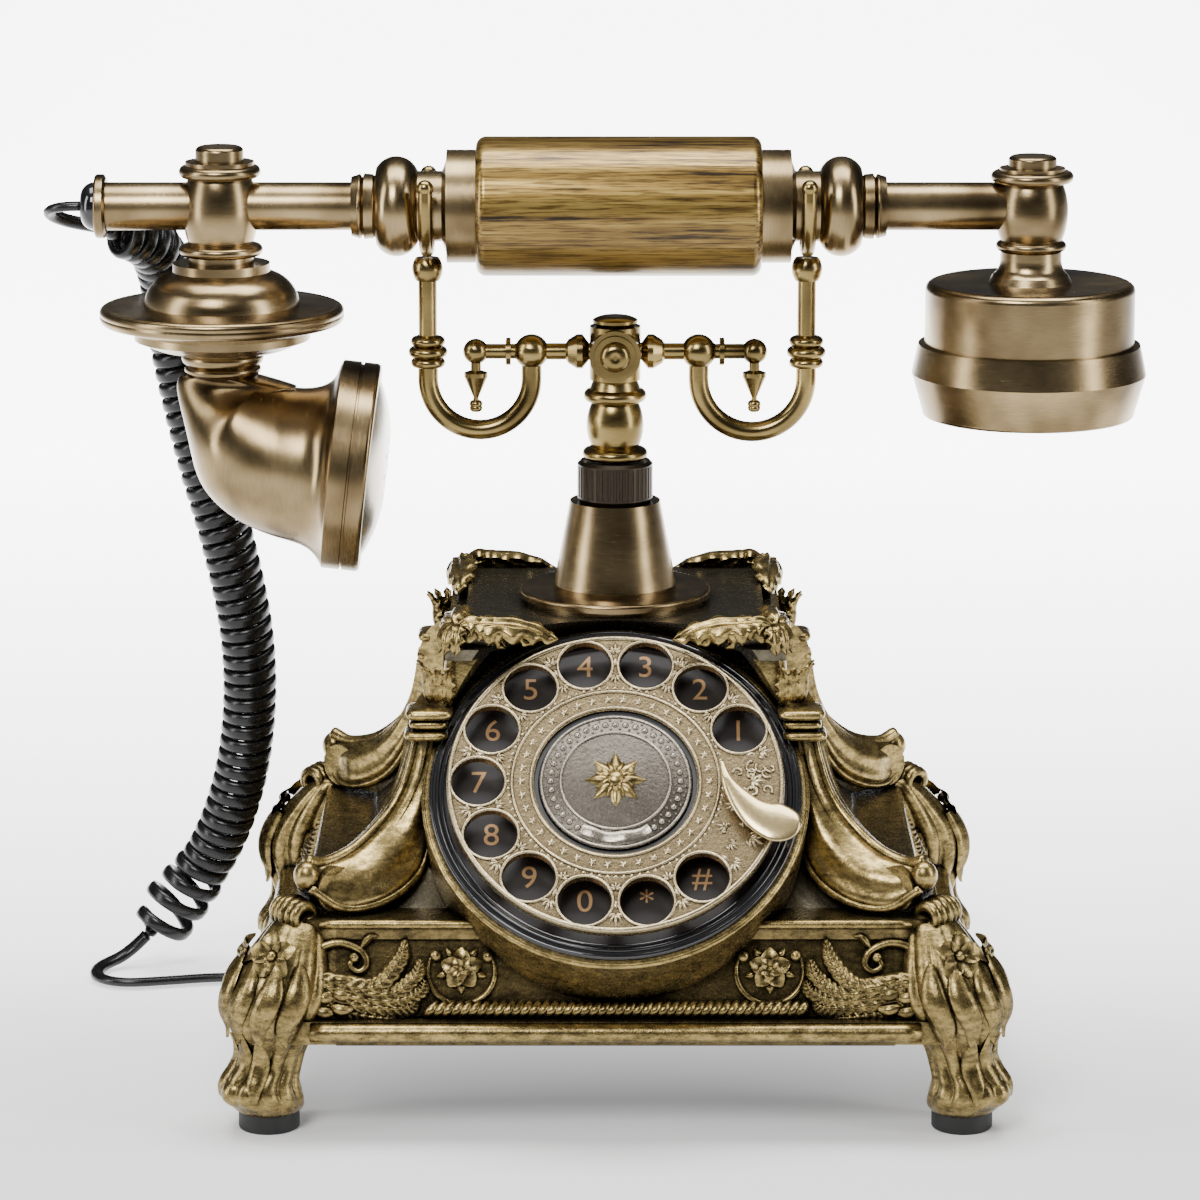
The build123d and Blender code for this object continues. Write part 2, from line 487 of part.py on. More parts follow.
def horn_section(outer, inner, shrink):
    """A round section of the horn between a point of its outer and one of its inner outline."""
    (x0, z0), (x1, z1) = outer, inner
    size = hypot(x1 - x0, z1 - z0)
    plane = Plane(origin=((x0 + x1) / 2, 0, (z0 + z1) / 2), x_dir=(0, 1, 0),
                  z_dir=((z1 - z0) / size, 0, -(x1 - x0) / size))
    return plane * Circle(size / 2 - shrink)


horn = loft([horn_section(o, i, 0) for o, i in HORN]) - loft([horn_section(o, i, HORN_WALL) for o, i in HORN])
save("horn_elbow", horn)
(bell_x0, bell_z0), (bell_x1, bell_z1) = HORN[-1]
BELL = Plane(origin=((bell_x0 + bell_x1) / 2, 0, (bell_z0 + bell_z1) / 2), x_dir=(0, 1, 0),
             z_dir=(bell_z1 - bell_z0, 0, bell_x0 - bell_x1)).location
save("bell_ring", BELL * lathe([(BELL_R, 0), (BELL_R, 4.4), (BELL_R - 0.6, 4.6), (BELL_R - 0.6, 5),
                                (BELL_R, 5.2),
                                (BELL_R, 8.3), (BELL_R - 1.2, BELL_L, 0.35), (BELL_R - 2.4, BELL_L)], 22.4))
grille = lathe([(22.4, 7.2), (22.4, BELL_L), (0.01, BELL_L + 3.5, 2)]) - lathe([(21, 7.2), (21, 8),
                                                                                (0.01, 11, 1.6)])
grille -= rod(0.7, 5, 20)
for ring, count in ((5, 6), (10, 12)):
    for i in range(count):
        grille -= Rot(0, 0, 360 * i / count) * Pos(ring, 0) * rod(0.7, 5, 20)
save("mouthpiece_grille", BELL * grille)
save("transmitter_capsule", BELL * (rod(22.4, 4.2, 7.2) + rod(15, -3, 4.2)))

save("receiver_cup", post([(CUP_R, CUP_LOW), (CUP_R, CUP_TOP - 2), (CUP_R - 2, CUP_TOP, 0.6)], HEAR_X)
     - Pos(HEAR_X) * (rod(CUP_R - 2.2, CUP_LOW, CUP_TOP - 2.2) + rod(CORE_BORE_R, 190, 205)))
ear = lathe([(25.6, EAR_LOW), (26.6, EAR_LOW + 0.9, 0.3), (EAR_R, 175.6), (27.85, CUP_LOW)])
ear -= lathe([(22.6, 168.4), (24.2, 170), (24.2, CUP_LOW)])
ear -= rod(18, EAR_LOW - 1, EAR_LOW + 0.8)
for ring, count in ((5, 6), (10, 12)):
    for i in range(count):
        ear -= Rot(0, 0, 360 * (i + 0.5) / count) * Pos(ring, 0) * rod(1, 160, 170)
save("ear_cap", Pos(HEAR_X) * ear)
save("receiver_capsule", post([(24.2, 170), (24.2, 170.5)], HEAR_X),
     post([(24.2, 170.5), (24.2, 173), (19, 175), (12, 178), (12, 186)], HEAR_X))


# ---------------------------------------------------------------- handset cord
def laid(points, diameter):
    """A round cord along a route of straight runs joined by arcs as large as the runs allow."""
    route = [Vector(*p) for p in points]
    runs = [(b - a).length for a, b in zip(route, route[1:])]
    radii = []
    for i in range(1, len(route) - 1):
        turn = radians((route[i] - route[i - 1]).get_angle(route[i + 1] - route[i]))
        radii.append(0.45 * min(runs[i - 1], runs[i]) / tan(turn / 2))
    line = FilletPolyline(*route, radius=radii)
    tube = sweep(Plane(origin=line @ 0, z_dir=line % 0) * Circle(diameter / 2), path=line)
    share = tube.volume / (pi * diameter ** 2 / 4 * line.length)
    print(f"cord {diameter} mm: {line.length:.1f} mm, volume share {share:.4f}, runs",
          [round(r, 1) for r in runs], "radii", [round(r, 1) for r in radii])
    return tube


UPPER_LEAD = [(BUSH_X, 0, AXIS_Z), (-139.4, 0, AXIS_Z), (-142.4, 5.6, 215.4), (-139, 11, 212.6), (-132, 14.3, 210.7),
              (-127.6, 17.92, 209.43)]
COIL = [(-127.5, 18, 209.4), (-119, 25, 207), (-115.5, 36.5, 196), (-114, 42.5, 176), (-108.5, 45.5, 148),
        (-101, 49, 120), (-96.5, 54, 92), (-98, 60, 64), (-104.5, 65, 40), (-114.5, 68, 22.5), (-126.5, 67, 9.5)]
LOWER_LEAD = [(-126.5, 67, 9.5), (-131.9, 66.55, 3.65), (-139.5, 60.5, 1.9), (-139.5, 50.5, 1.9),
              (-132, 45, 1.9),
              (-120, 47.5, 1.9), (-106, 51, 1.9), (-92, 50, 1.9), (-78, 45.5, 1.9), (-66, 42.3, 3.2),
              (-56, 43.4, 7.5), (-52, 44, 14.5), (-52.01, 44.02, PLATE_Z0 - 1.2)]
save("cord_upper_lead", laid(UPPER_LEAD, CORD_D))
save("curly_cord", laid(COIL, COIL_D))
save("cord_lower_lead", laid(LOWER_LEAD, CORD_D))
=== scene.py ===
import bpy
from math import cos, pi, radians, sin
from mathutils import Matrix, Vector


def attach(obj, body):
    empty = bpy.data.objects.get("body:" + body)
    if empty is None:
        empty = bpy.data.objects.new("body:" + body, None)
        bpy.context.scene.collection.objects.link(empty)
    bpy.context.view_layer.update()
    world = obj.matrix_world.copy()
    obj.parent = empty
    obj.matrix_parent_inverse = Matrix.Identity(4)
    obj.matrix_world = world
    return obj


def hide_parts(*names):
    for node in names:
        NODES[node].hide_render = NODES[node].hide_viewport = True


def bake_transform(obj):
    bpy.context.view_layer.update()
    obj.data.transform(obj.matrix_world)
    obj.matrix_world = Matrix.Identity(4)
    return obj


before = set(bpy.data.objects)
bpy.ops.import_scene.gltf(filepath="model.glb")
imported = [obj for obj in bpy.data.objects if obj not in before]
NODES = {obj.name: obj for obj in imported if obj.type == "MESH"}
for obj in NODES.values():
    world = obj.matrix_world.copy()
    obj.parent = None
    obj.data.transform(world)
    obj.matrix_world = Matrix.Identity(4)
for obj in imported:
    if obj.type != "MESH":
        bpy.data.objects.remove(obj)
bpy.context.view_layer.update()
MM = 0.001
UP = Vector((0, 0, 1))

# The sizes below are in millimetres, in the CAD part's own frame.
DIAL_POS = Vector((0, -60, 85))
DIAL_TILT = 43.5
DIAL_N = Vector((0, -cos(radians(DIAL_TILT)), sin(radians(DIAL_TILT))))
DIAL_U = Vector((0, sin(radians(DIAL_TILT)), cos(radians(DIAL_TILT))))
WHEEL_R, HOLE_R, HOLE_PITCH_R, HOLE_STEP, HOLES = 41.3, 6.5, 33.6, 360 / 14, 12
NUMBER_TOP = -6.5  # the number plate, under the wheel's face
# half lengths of the upper casing along X and Y, and the height they belong to
CASING = [(64, 59, 52.7), (57, 52.5, 60), (50.5, 46.5, 70), (46, 42.5, 82), (43.5, 40.5, 96), (42, 39.5, 111)]
STRAP_TOP = 85  # above it the gold of a strap is as wide as its capital
STRAP_REACH, CAPITAL_REACH = 3.5, 8


# ---------------- materials
def new_material(name, colour, metallic=1.0, roughness=0.3, **more):
    m = bpy.data.materials.new(name)
    m.use_nodes = True
    shader = m.node_tree.nodes["Principled BSDF"]
    shader.inputs["Base Color"].default_value = (*colour, 1)
    shader.inputs["Metallic"].default_value = metallic
    shader.inputs["Roughness"].default_value = roughness
    for key, value in more.items():
        shader.inputs[key.replace("_", " ")].default_value = value
    return m


class Nodes:
    """A few short ways to add shader nodes to a material or the world."""

    def __init__(self, owner, shader="Principled BSDF"):
        self.tree = owner.node_tree
        self.shader = self.tree.nodes[shader]

    def add(self, kind, **values):
        node = self.tree.nodes.new(kind)
        for key, value in values.items():
            if key in node.inputs:
                node.inputs[key].default_value = value
            else:
                setattr(node, key, value)
        return node

    def link(self, a, b):
        self.tree.links.new(a, b)

    def feed(self, **sockets):
        """Links values to sockets of the shader."""
        for key, value in sockets.items():
            self.link(value, self.shader.inputs[key.replace("_", " ")])

    def position(self, scale):
        """The object's own coordinates, in millimetres, stretched."""
        coords = self.add("ShaderNodeTexCoord")
        mapping = self.add("ShaderNodeMapping")
        mapping.inputs["Scale"].default_value = [1000 * s for s in scale]
        self.link(coords.outputs["Object"], mapping.inputs["Vector"])
        return mapping.outputs["Vector"]

    def axes(self, kind):
        """The three numbers of a kind of coordinates, apart."""
        coords = self.add("ShaderNodeTexCoord")
        split = self.add("ShaderNodeSeparateXYZ")
        self.link(coords.outputs[kind], split.inputs["Vector"])
        return split.outputs

    def noise(self, stretch=(1, 1, 1), scale=1.0, detail=4.0, rough=0.55):
        vector = self.position(stretch)
        n = self.add("ShaderNodeTexNoise", Scale=scale, Detail=detail, Roughness=rough)
        self.link(vector, n.inputs["Vector"])
        return n.outputs["Fac"]

    def ramp(self, fac, stops):
        r = self.add("ShaderNodeValToRGB")
        while len(r.color_ramp.elements) < len(stops):
            r.color_ramp.elements.new(0.5)
        for element, (place, colour) in zip(r.color_ramp.elements, stops):
            element.position = place
            element.color = (*colour, 1)
        self.link(fac, r.inputs["Fac"])
        return r.outputs["Color"]

    def mix(self, a, b, fac, mode="MIX"):
        m = self.add("ShaderNodeMix", data_type="RGBA", blend_type=mode)
        # the colour sockets of this node share their names with the number and vector ones
        colours = [s for s in m.inputs if s.type == "RGBA"]
        for value, socket in zip((fac, a, b), (m.inputs["Factor"], *colours)):
            if isinstance(value, bpy.types.NodeSocket):
                self.link(value, socket)
            else:
                socket.default_value = (*value, 1) if isinstance(value, tuple) else value
        return next(s for s in m.outputs if s.type == "RGBA")

    def to_range(self, fac, low, high, start=0.0, end=1.0, **more):
        # a node that turns start to end into low to high
        r = self.add("ShaderNodeMapRange", **more)
        for key, value in (("From Min", start), ("From Max", end), ("To Min", low), ("To Max", high)):
            r.inputs[key].default_value = value
        self.link(fac, r.inputs["Value"])
        return r.outputs["Result"]

    def bump(self, height, strength, distance_mm):
        b = self.add("ShaderNodeBump", Strength=strength, Distance=distance_mm * MM)
        self.link(height, b.inputs["Height"])
        self.feed(Normal=b.outputs["Normal"])


def brushed(name, dark, light, axis, roughness=(0.17, 0.31), turns=True):
    """Brass brushed round a turned piece's axis, or along it, with darker lacquer in broad streaks."""
    m = new_material(name, light, Anisotropic=0.55)
    n = Nodes(m)
    stretch = {"X": (6, 0.35, 0.35), "Y": (0.35, 6, 0.35), "Z": (0.35, 0.35, 6)}[axis]
    fine = n.noise(stretch, 1.0, 3.0)
    broad = n.noise((0.05, 0.05, 0.05), 1.0, 2.0)
    tint = n.ramp(broad, [(0.3, dark), (0.7, light)])
    streak = n.ramp(fine, [(0.25, (0.72, 0.70, 0.66)), (0.75, (1, 1, 1))])
    n.feed(Base_Color=n.mix(tint, streak, 1.0, "MULTIPLY"))
    n.feed(Roughness=n.to_range(fine, *roughness))
    if turns:
        n.feed(Tangent=n.add("ShaderNodeTangent", direction_type="RADIAL", axis=axis).outputs["Tangent"])
    n.bump(fine, 0.12, 0.05)
    return m


def patinated(name, gold, dark, depth_mm=2.8, grain=1.0, rubbing=0.8):
    """Antique lacquer: bright on what stands out, dark in the recesses and rubbed off in patches."""
    m = new_material(name, gold, metallic=0.9, roughness=0.36)
    n = Nodes(m)
    speck = n.noise(scale=0.9 * grain, detail=6.0, rough=0.65)
    rub = n.noise((0.5, 0.5, 1.1), 0.5, 8.0, 0.72)
    ao = n.add("ShaderNodeAmbientOcclusion", samples=6)
    ao.inputs["Distance"].default_value = depth_mm * MM
    open_air = n.ramp(ao.outputs["AO"], [(0.45, (0, 0, 0)), (0.95, (1, 1, 1))])
    worn = n.ramp(speck, [(0.34, (0.4, 0.4, 0.4)), (0.5, (1, 1, 1))])
    rubbed = n.ramp(rub, [(0.38, (0.08, 0.08, 0.08)), (0.6, (1, 1, 1))])
    shows = n.mix(n.mix(open_air, worn, 0.6, "MULTIPLY"), rubbed, rubbing, "MULTIPLY")
    n.feed(Base_Color=n.mix(dark, gold, shows))
    n.feed(Roughness=n.to_range(speck, 0.36, 0.17))
    n.bump(speck, 0.35, 0.25)
    return m


def grained(name):
    """Gold lacquer brushed over dark lengthwise wood grain."""
    m = new_material(name, (0.5, 0.36, 0.12), metallic=0.75, roughness=0.3,
                     Coat_Weight=0.35, Coat_Roughness=0.15)
    n = Nodes(m)
    long = n.noise((0.018, 0.5, 0.5), 1.0, 6.0, 0.7)
    fine = n.noise((0.09, 2.2, 2.2), 1.0, 4.0, 0.6)
    broad = n.noise((0.012, 0.14, 0.14), 1.0, 3.0)
    base = n.ramp(long, [(0.36, (0.025, 0.013, 0.004)), (0.46, (0.25, 0.155, 0.035)),
                         (0.64, (0.50, 0.35, 0.10))])
    streak = n.ramp(fine, [(0.4, (0.2, 0.16, 0.11)), (0.52, (1, 1, 1))])
    cloud = n.ramp(broad, [(0.35, (0.62, 0.58, 0.5)), (0.6, (1, 1, 1))])
    n.feed(Base_Color=n.mix(n.mix(base, streak, 0.8, "MULTIPLY"), cloud, 1.0, "MULTIPLY"))
    n.feed(Roughness=n.to_range(long, 0.42, 0.22))
    n.bump(fine, 0.15, 0.1)
    return m


def moulded(name, colour, roughness, metallic=0.0, grain=2.0, strength=0.1, **more):
    """A moulded or satin surface with a fine grain in its gloss."""
    m = new_material(name, colour, metallic=metallic, roughness=roughness, **more)
    n = Nodes(m)
    speck = n.noise(scale=grain, detail=3.0)
    n.feed(Base_Color=n.ramp(speck, [(0.3, tuple(0.82 * c for c in colour)), (0.7, colour)]))
    n.feed(Roughness=n.to_range(speck, roughness * 0.85, roughness * 1.2))
    n.bump(speck, strength, 0.08)
    return m


BRASS_DARK, BRASS_LIGHT = (0.095, 0.064, 0.030), (0.46, 0.345, 0.185)
BRASS_X = brushed("brass_brushed_x", BRASS_DARK, BRASS_LIGHT, "X")
BRASS_Z = brushed("brass_brushed_z", BRASS_DARK, BRASS_LIGHT, "Z")
CRADLE_BRASS = brushed("brass_cradle", (0.10, 0.07, 0.026), (0.42, 0.31, 0.125), "Z", (0.16, 0.3),
                       turns=False)
GOLD = patinated("aged_gold", (0.38, 0.28, 0.105), (0.010, 0.007, 0.0035), 3.6)
GOLD_GROUND = patinated("aged_gold_ground", (0.22, 0.16, 0.06), (0.010, 0.007, 0.0035), 3.6)
GOLD_BRIGHT = patinated("aged_gold_bright", (0.47, 0.345, 0.13), (0.012, 0.008, 0.004), 3.0, 0.7)
GOLD_SMOOTH = patinated("aged_gold_smooth", (0.16, 0.14, 0.095), (0.03, 0.024, 0.014), 5.0, 0.4, 0.35)
GRIP = grained("gold_wood_grain")
ENGRAVED = patinated("pale_engraved_brass", (0.55, 0.45, 0.27), (0.05, 0.032, 0.015), 1.2, 1.2, 0.3)
CREAM = moulded("cream_brass", (0.62, 0.48, 0.235), 0.22, metallic=0.85, grain=1.5, Coat_Weight=0.4)
ENGRAVED_GROUND = patinated("pale_engraved_ground", (0.25, 0.19, 0.10), (0.03, 0.019, 0.009), 1.8, 1.2, 0.3)
SILVER = patinated("grey_silver", (0.125, 0.11, 0.09), (0.04, 0.032, 0.024), 1.2, 1.2, 0.25)
SILVER_LIGHT = patinated("grey_silver_light", (0.36, 0.32, 0.26), (0.05, 0.04, 0.03), 0.8, 1.2, 0.1)
PALE_GRILLE = moulded("pale_grille", (0.60, 0.56, 0.46), 0.25, metallic=0.9, grain=3.0)
COPPER = moulded("copper_print", (0.42, 0.24, 0.105), 0.35, metallic=0.6)
BLACK_GLOSS = moulded("black_gloss", (0.006, 0.006, 0.007), 0.12, grain=0.6, strength=0.03, Coat_Weight=0.6)
BLACK_PRINT = moulded("black_print", (0.012, 0.008, 0.006), 0.3)
BLACK_PLASTIC = moulded("black_plastic", (0.014, 0.014, 0.015), 0.45)
CORD_BLACK = moulded("cord_black", (0.005, 0.005, 0.0055), 0.27, grain=1.2, strength=0.06,
                     Specular_IOR_Level=0.38)
RUBBER = moulded("rubber", (0.005, 0.005, 0.005), 0.55)
BRONZE_BLACK = moulded("blackened_bronze", (0.045, 0.035, 0.025), 0.32, metallic=0.9)
STEEL = moulded("zinc_steel", (0.55, 0.55, 0.56), 0.35, metallic=1.0)
GEAR_BRASS = moulded("gear_brass", (0.72, 0.55, 0.26), 0.3, metallic=1.0)
BOARD = moulded("board_green", (0.02, 0.13, 0.05), 0.35)

LOOKS = {
    GOLD: "dial_housing legs",
    GOLD_GROUND: "lower_casing",
    GOLD_SMOOTH: "upper_casing",
    BRASS_X: "ring_collars turned_necks handset_tubes end_stub horn_elbow bell_ring",
    BRASS_Z: "pedestal_disc pedestal_cone transmitter_post receiver_post post_caps transmitter_dome "
             "drip_dish horn_collar receiver_cup ear_cap",
    CRADLE_BRASS: "cradle_stem cradle_block cradle_caps cradle_arms finials cradle_hooks yokes",
    GRIP: "grip_sleeve",
    BRONZE_BLACK: "knurled_collar",
    ENGRAVED_GROUND: "finger_wheel",
    PALE_GRILLE: "mouthpiece_grille",
    SILVER: "hands_free_button",
    CREAM: "finger_stop",
    BLACK_GLOSS: "dial_bezel cord_bush",
    BLACK_PRINT: "number_plate",
    BLACK_PLASTIC: "bottom_plate dial_frame dial_core loudspeaker line_jack hook_switch "
                   "transmitter_capsule receiver_capsule base_microphone standoffs",
    RUBBER: "rubber_feet cord_grommet",
    CORD_BLACK: "curly_cord cord_upper_lead cord_lower_lead",
    STEEL: "bottom_screws plunger_rod hook_spring return_spring grip_core_tube",
    GEAR_BRASS: "dial_sleeve_gear governor",
    BOARD: "circuit_board contact_board",
}


def dress_nodes():
    for material, names in LOOKS.items():
        for name in names.split():
            for place in NODES[name].material_slots:
                place.material = material


def gild_straps():
    """The casing's corners get the gold of their straps. The panels between stay plainer."""
    mesh = NODES["upper_casing"].data
    mesh.materials.append(GOLD)
    for face in mesh.polygons:
        x, y, z = (abs(c) / MM if k < 2 else c / MM for k, c in enumerate(face.center))
        half_x, half_y = casing_half(z)
        reach = STRAP_REACH if z < STRAP_TOP else CAPITAL_REACH
        if x > half_x - reach and y > half_y - reach and z < CASING[-1][2]:
            face.material_index = len(mesh.materials) - 1


# ---------------- mesh building
def new_object(name, data):
    holder = bpy.data.objects.new(name, data)
    bpy.context.collection.objects.link(holder)
    return holder


def mesh_of(data):
    """The mesh of a curve or a text."""
    holder = bpy.data.objects.new(data.name, data)
    mesh = bpy.data.meshes.new_from_object(holder)
    bpy.data.objects.remove(holder)
    return mesh


class Sculpt:
    """Vertices and faces of one piece, collected in millimetres."""

    def __init__(self):
        self.points, self.faces = [], []

    def grid(self, place, rows, columns, closed=False, cap=False):
        """A surface through place(row share, column share). closed joins its last column to its first."""
        first, wide = len(self.points), columns if closed else columns + 1
        for i in range(rows + 1):
            self.points += [Vector(place(i / rows, j / columns)) for j in range(wide)]
        for i in range(rows):
            for j in range(columns):
                a, b = first + i * wide + j, first + i * wide + (j + 1) % wide
                self.faces.append((a, b, b + wide, a + wide))
        if cap:
            self.faces.append(tuple(first + j for j in reversed(range(wide))))
            self.faces.append(tuple(first + rows * wide + j for j in range(wide)))
        return self

    def tube(self, path, radius, sides=10):
        """A round bar along path. radius is a number or a function of the share along it."""
        path = [Vector(p) for p in path]
        frames = turning_frames(path)
        size = radius if callable(radius) else (lambda s: radius)

        def place(s, t):
            k = round(s * (len(path) - 1))
            _, side, up = frames[k]
            a = 2 * pi * t
            return path[k] + (side * cos(a) + up * sin(a)) * size(s)

        return self.grid(place, len(path) - 1, sides, closed=True, cap=True)

    def blob(self, centre, size, out, rows=8, columns=14):
        """A rounded boss, flattened along out."""
        side, up = across(out)
        centre = Vector(centre)

        def place(s, t):
            a, b = pi * s, 2 * pi * t
            ring = sin(a)
            return (centre + side * (size[0] * ring * cos(b)) + up * (size[1] * ring * sin(b))
                    + Vector(out).normalized() * (size[2] * cos(a)))

        return self.grid(place, rows, columns, closed=True)

    def leaf(self, spine, out, width, lobes=0, height=1.2, notch=0.45, ribs=0.25, rows=26, columns=10):
        """A carved leaf. spine is its middle line, out the way it faces, or a list with one for each end."""
        rows = max(rows, 10 * lobes)
        spine = smooth_line(spine, rows)
        out0, out1 = map(Vector, out if isinstance(out, list) else (out, out))

        def place(s, t):
            k = round(s * (len(spine) - 1))
            ahead = ahead_at(spine, k)
            normal = out0.lerp(out1, s)
            normal = (normal - ahead * normal.dot(ahead)).normalized()
            side = ahead.cross(normal)
            across_share = 2 * t - 1
            shape = sin(pi * min(0.02 + 0.98 * s, 1)) ** 0.6 * (1 - 0.35 * s)
            if lobes:
                shape *= 1 - notch * (0.5 + 0.5 * cos(2 * pi * lobes * s)) * abs(across_share) ** 0.7
            half = width / 2 * shape
            lift = height * (1 - across_share ** 2) ** 0.6 * (0.35 + 0.65 * sin(pi * min(s + 0.12, 1)))
            vein = ribs * (cos(5 * pi * across_share) - 1) * 0.5 * shape
            middle = -0.35 * height * max(0, 1 - abs(across_share) * 5) if lobes else 0
            return spine[k] + side * (across_share * half) + normal * (lift + vein + middle)

        return self.grid(place, rows, columns)

    def add(self, other, move=Vector):
        """Another piece's faces, with its points moved by a function."""
        first = len(self.points)
        self.points += [Vector(move(p)) for p in other.points]
        self.faces += [tuple(first + i for i in f) for f in other.faces]
        return self

    def make(self, name, material, body, slot):
        """The finished piece. body is the CAD body it moves with, or None to leave it unattached."""
        mesh = bpy.data.meshes.new(name)
        mesh.from_pydata([p * MM for p in self.points], [], self.faces)
        mesh.validate()
        mesh.materials.append(material)
        piece = new_object(name, mesh)
        for polygon in mesh.polygons:
            polygon.use_smooth = True
        if body:
            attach(piece, body)
        return piece


def ahead_at(line, k):
    """The direction of a line of points at its point k."""
    return (line[min(k + 1, len(line) - 1)] - line[max(k - 1, 0)]).normalized()


def across(direction):
    """Two directions square to the one given."""
    d = Vector(direction).normalized()
    side = d.cross(UP if abs(d.z) < 0.9 else Vector((0, 1, 0)))
    side.normalize()
    return side, d.cross(side) * -1


def turning_frames(path):
    """Along, side and up at each point, without twist."""
    frames, side = [], None
    for k in range(len(path)):
        ahead = ahead_at(path, k)
        if side is None:
            side = across(ahead)[0]
        side = (side - ahead * side.dot(ahead)).normalized()
        frames.append((ahead, side, ahead.cross(side)))
    return frames


def between(a, b, c, d, t):
    """The Catmull-Rom point a share t of the way from b to c."""
    return 0.5 * (2 * b + (c - a) * t + (2 * a - 5 * b + 4 * c - d) * t * t
                  + (3 * b - a - 3 * c + d) * t ** 3)


def smooth_line(points, steps):
    """A smooth line of points through a few given ones."""
    points = [Vector(p) for p in points]
    ends = [points[0] * 2 - points[1], *points, points[-1] * 2 - points[-2]]
    out = []
    for i in range(steps + 1):
        s = i / steps * (len(points) - 1)
        k = min(int(s), len(points) - 2)
        out.append(between(*ends[k:k + 4], s - k))
    return out


def dial_point(x, v, w=0.0):
    """A point of the dial's own frame: x to the right, v up the wheel, w out of its front."""
    return DIAL_POS + Vector((x, 0, 0)) + DIAL_U * v + DIAL_N * w


def flat_polar(r, deg):
    return r * cos(radians(deg)), r * sin(radians(deg))


def dial_polar(r, deg, w=0.0):
    """A point of the dial's own frame, from a radius and degrees."""
    return dial_point(*flat_polar(r, deg), w)


def four_ways(piece):
    """A piece of the +X +Y corner, at all four corners."""
    whole = Sculpt()
    for sx in (1, -1):
        for sy in (1, -1):
            part = Sculpt().add(piece, lambda p: (p.x * sx, p.y * sy, p.z))
            if sx * sy < 0:
                part.faces = [tuple(reversed(f)) for f in part.faces]
            whole.add(part)
    return whole


# ---------------- handset cord
# control points of the cord's route, from the bush down to the floor and in under the base
UPPER_LEAD = [(-133.4, 0, 217.7), (-139.4, 0, 217.7), (-142.4, 5.6, 215.4), (-139, 11, 212.6),
              (-132, 14.3, 210.7), (-127.6, 17.92, 209.43)]
COIL = [(-127.5, 18, 209.4), (-119, 25, 207), (-115.5, 36.5, 196), (-114, 42.5, 176), (-108.5, 45.5, 148),
        (-101, 49, 120), (-96.5, 54, 92), (-98, 60, 64), (-104.5, 65, 40), (-114.5, 68, 22.5),
        (-126.5, 67, 9.5)]
LOWER_LEAD = [(-126.5, 67, 9.5), (-131.9, 66.55, 3.65), (-139.5, 60.5, 1.9), (-139.5, 50.5, 1.9),
              (-132, 45, 1.9), (-120, 47.5, 1.9), (-106, 51, 1.9), (-92, 50, 1.9), (-78, 45.5, 1.9),
              (-66, 42.3, 3.2), (-56, 43.4, 7.5), (-52, 44, 14.5), (-52.01, 44.02, 21.6)]
CORD_W, CORD_T = 3.7, 2.4  # a flat cord, wound with its thin side outwards
COIL_R, COIL_PITCH, COIL_STEP, LEAD_STEP = 6.0, 4.1, 0.15, 0.8
COIL_STARTS_IN, COIL_ENDS_IN = 3.2, 5.5  # how far the first and last turn take to reach their width
COIL_OPEN_RUN, COIL_OPEN_PITCH, COIL_OPEN_R = 24, 0.9, 2.0  # the last stretch, and how much it opens


def route_points(name, points):
    """The smooth line of a route, read from its own spline."""
    curve = bpy.data.curves.new(name, "CURVE")
    curve.dimensions = "3D"
    curve.resolution_u = 14
    spline = curve.splines.new("NURBS")
    spline.points.add(len(points) - 1)
    for place, p in zip(spline.points, points):
        place.co = (*[c * MM for c in p], 1)
    spline.order_u = 3
    spline.use_endpoint_u = True
    mesh = mesh_of(curve)
    line = [v.co / MM for v in mesh.vertices]
    bpy.data.meshes.remove(mesh)
    return line


def evenly(line, step):
    """The line's points again, about step apart."""
    out, left = [line[0]], step
    for a, b in zip(line, line[1:]):
        run = (b - a).length
        at = left
        while at <= run:
            out.append(a.lerp(b, at / run))
            at += step
        left = at - run
    return out


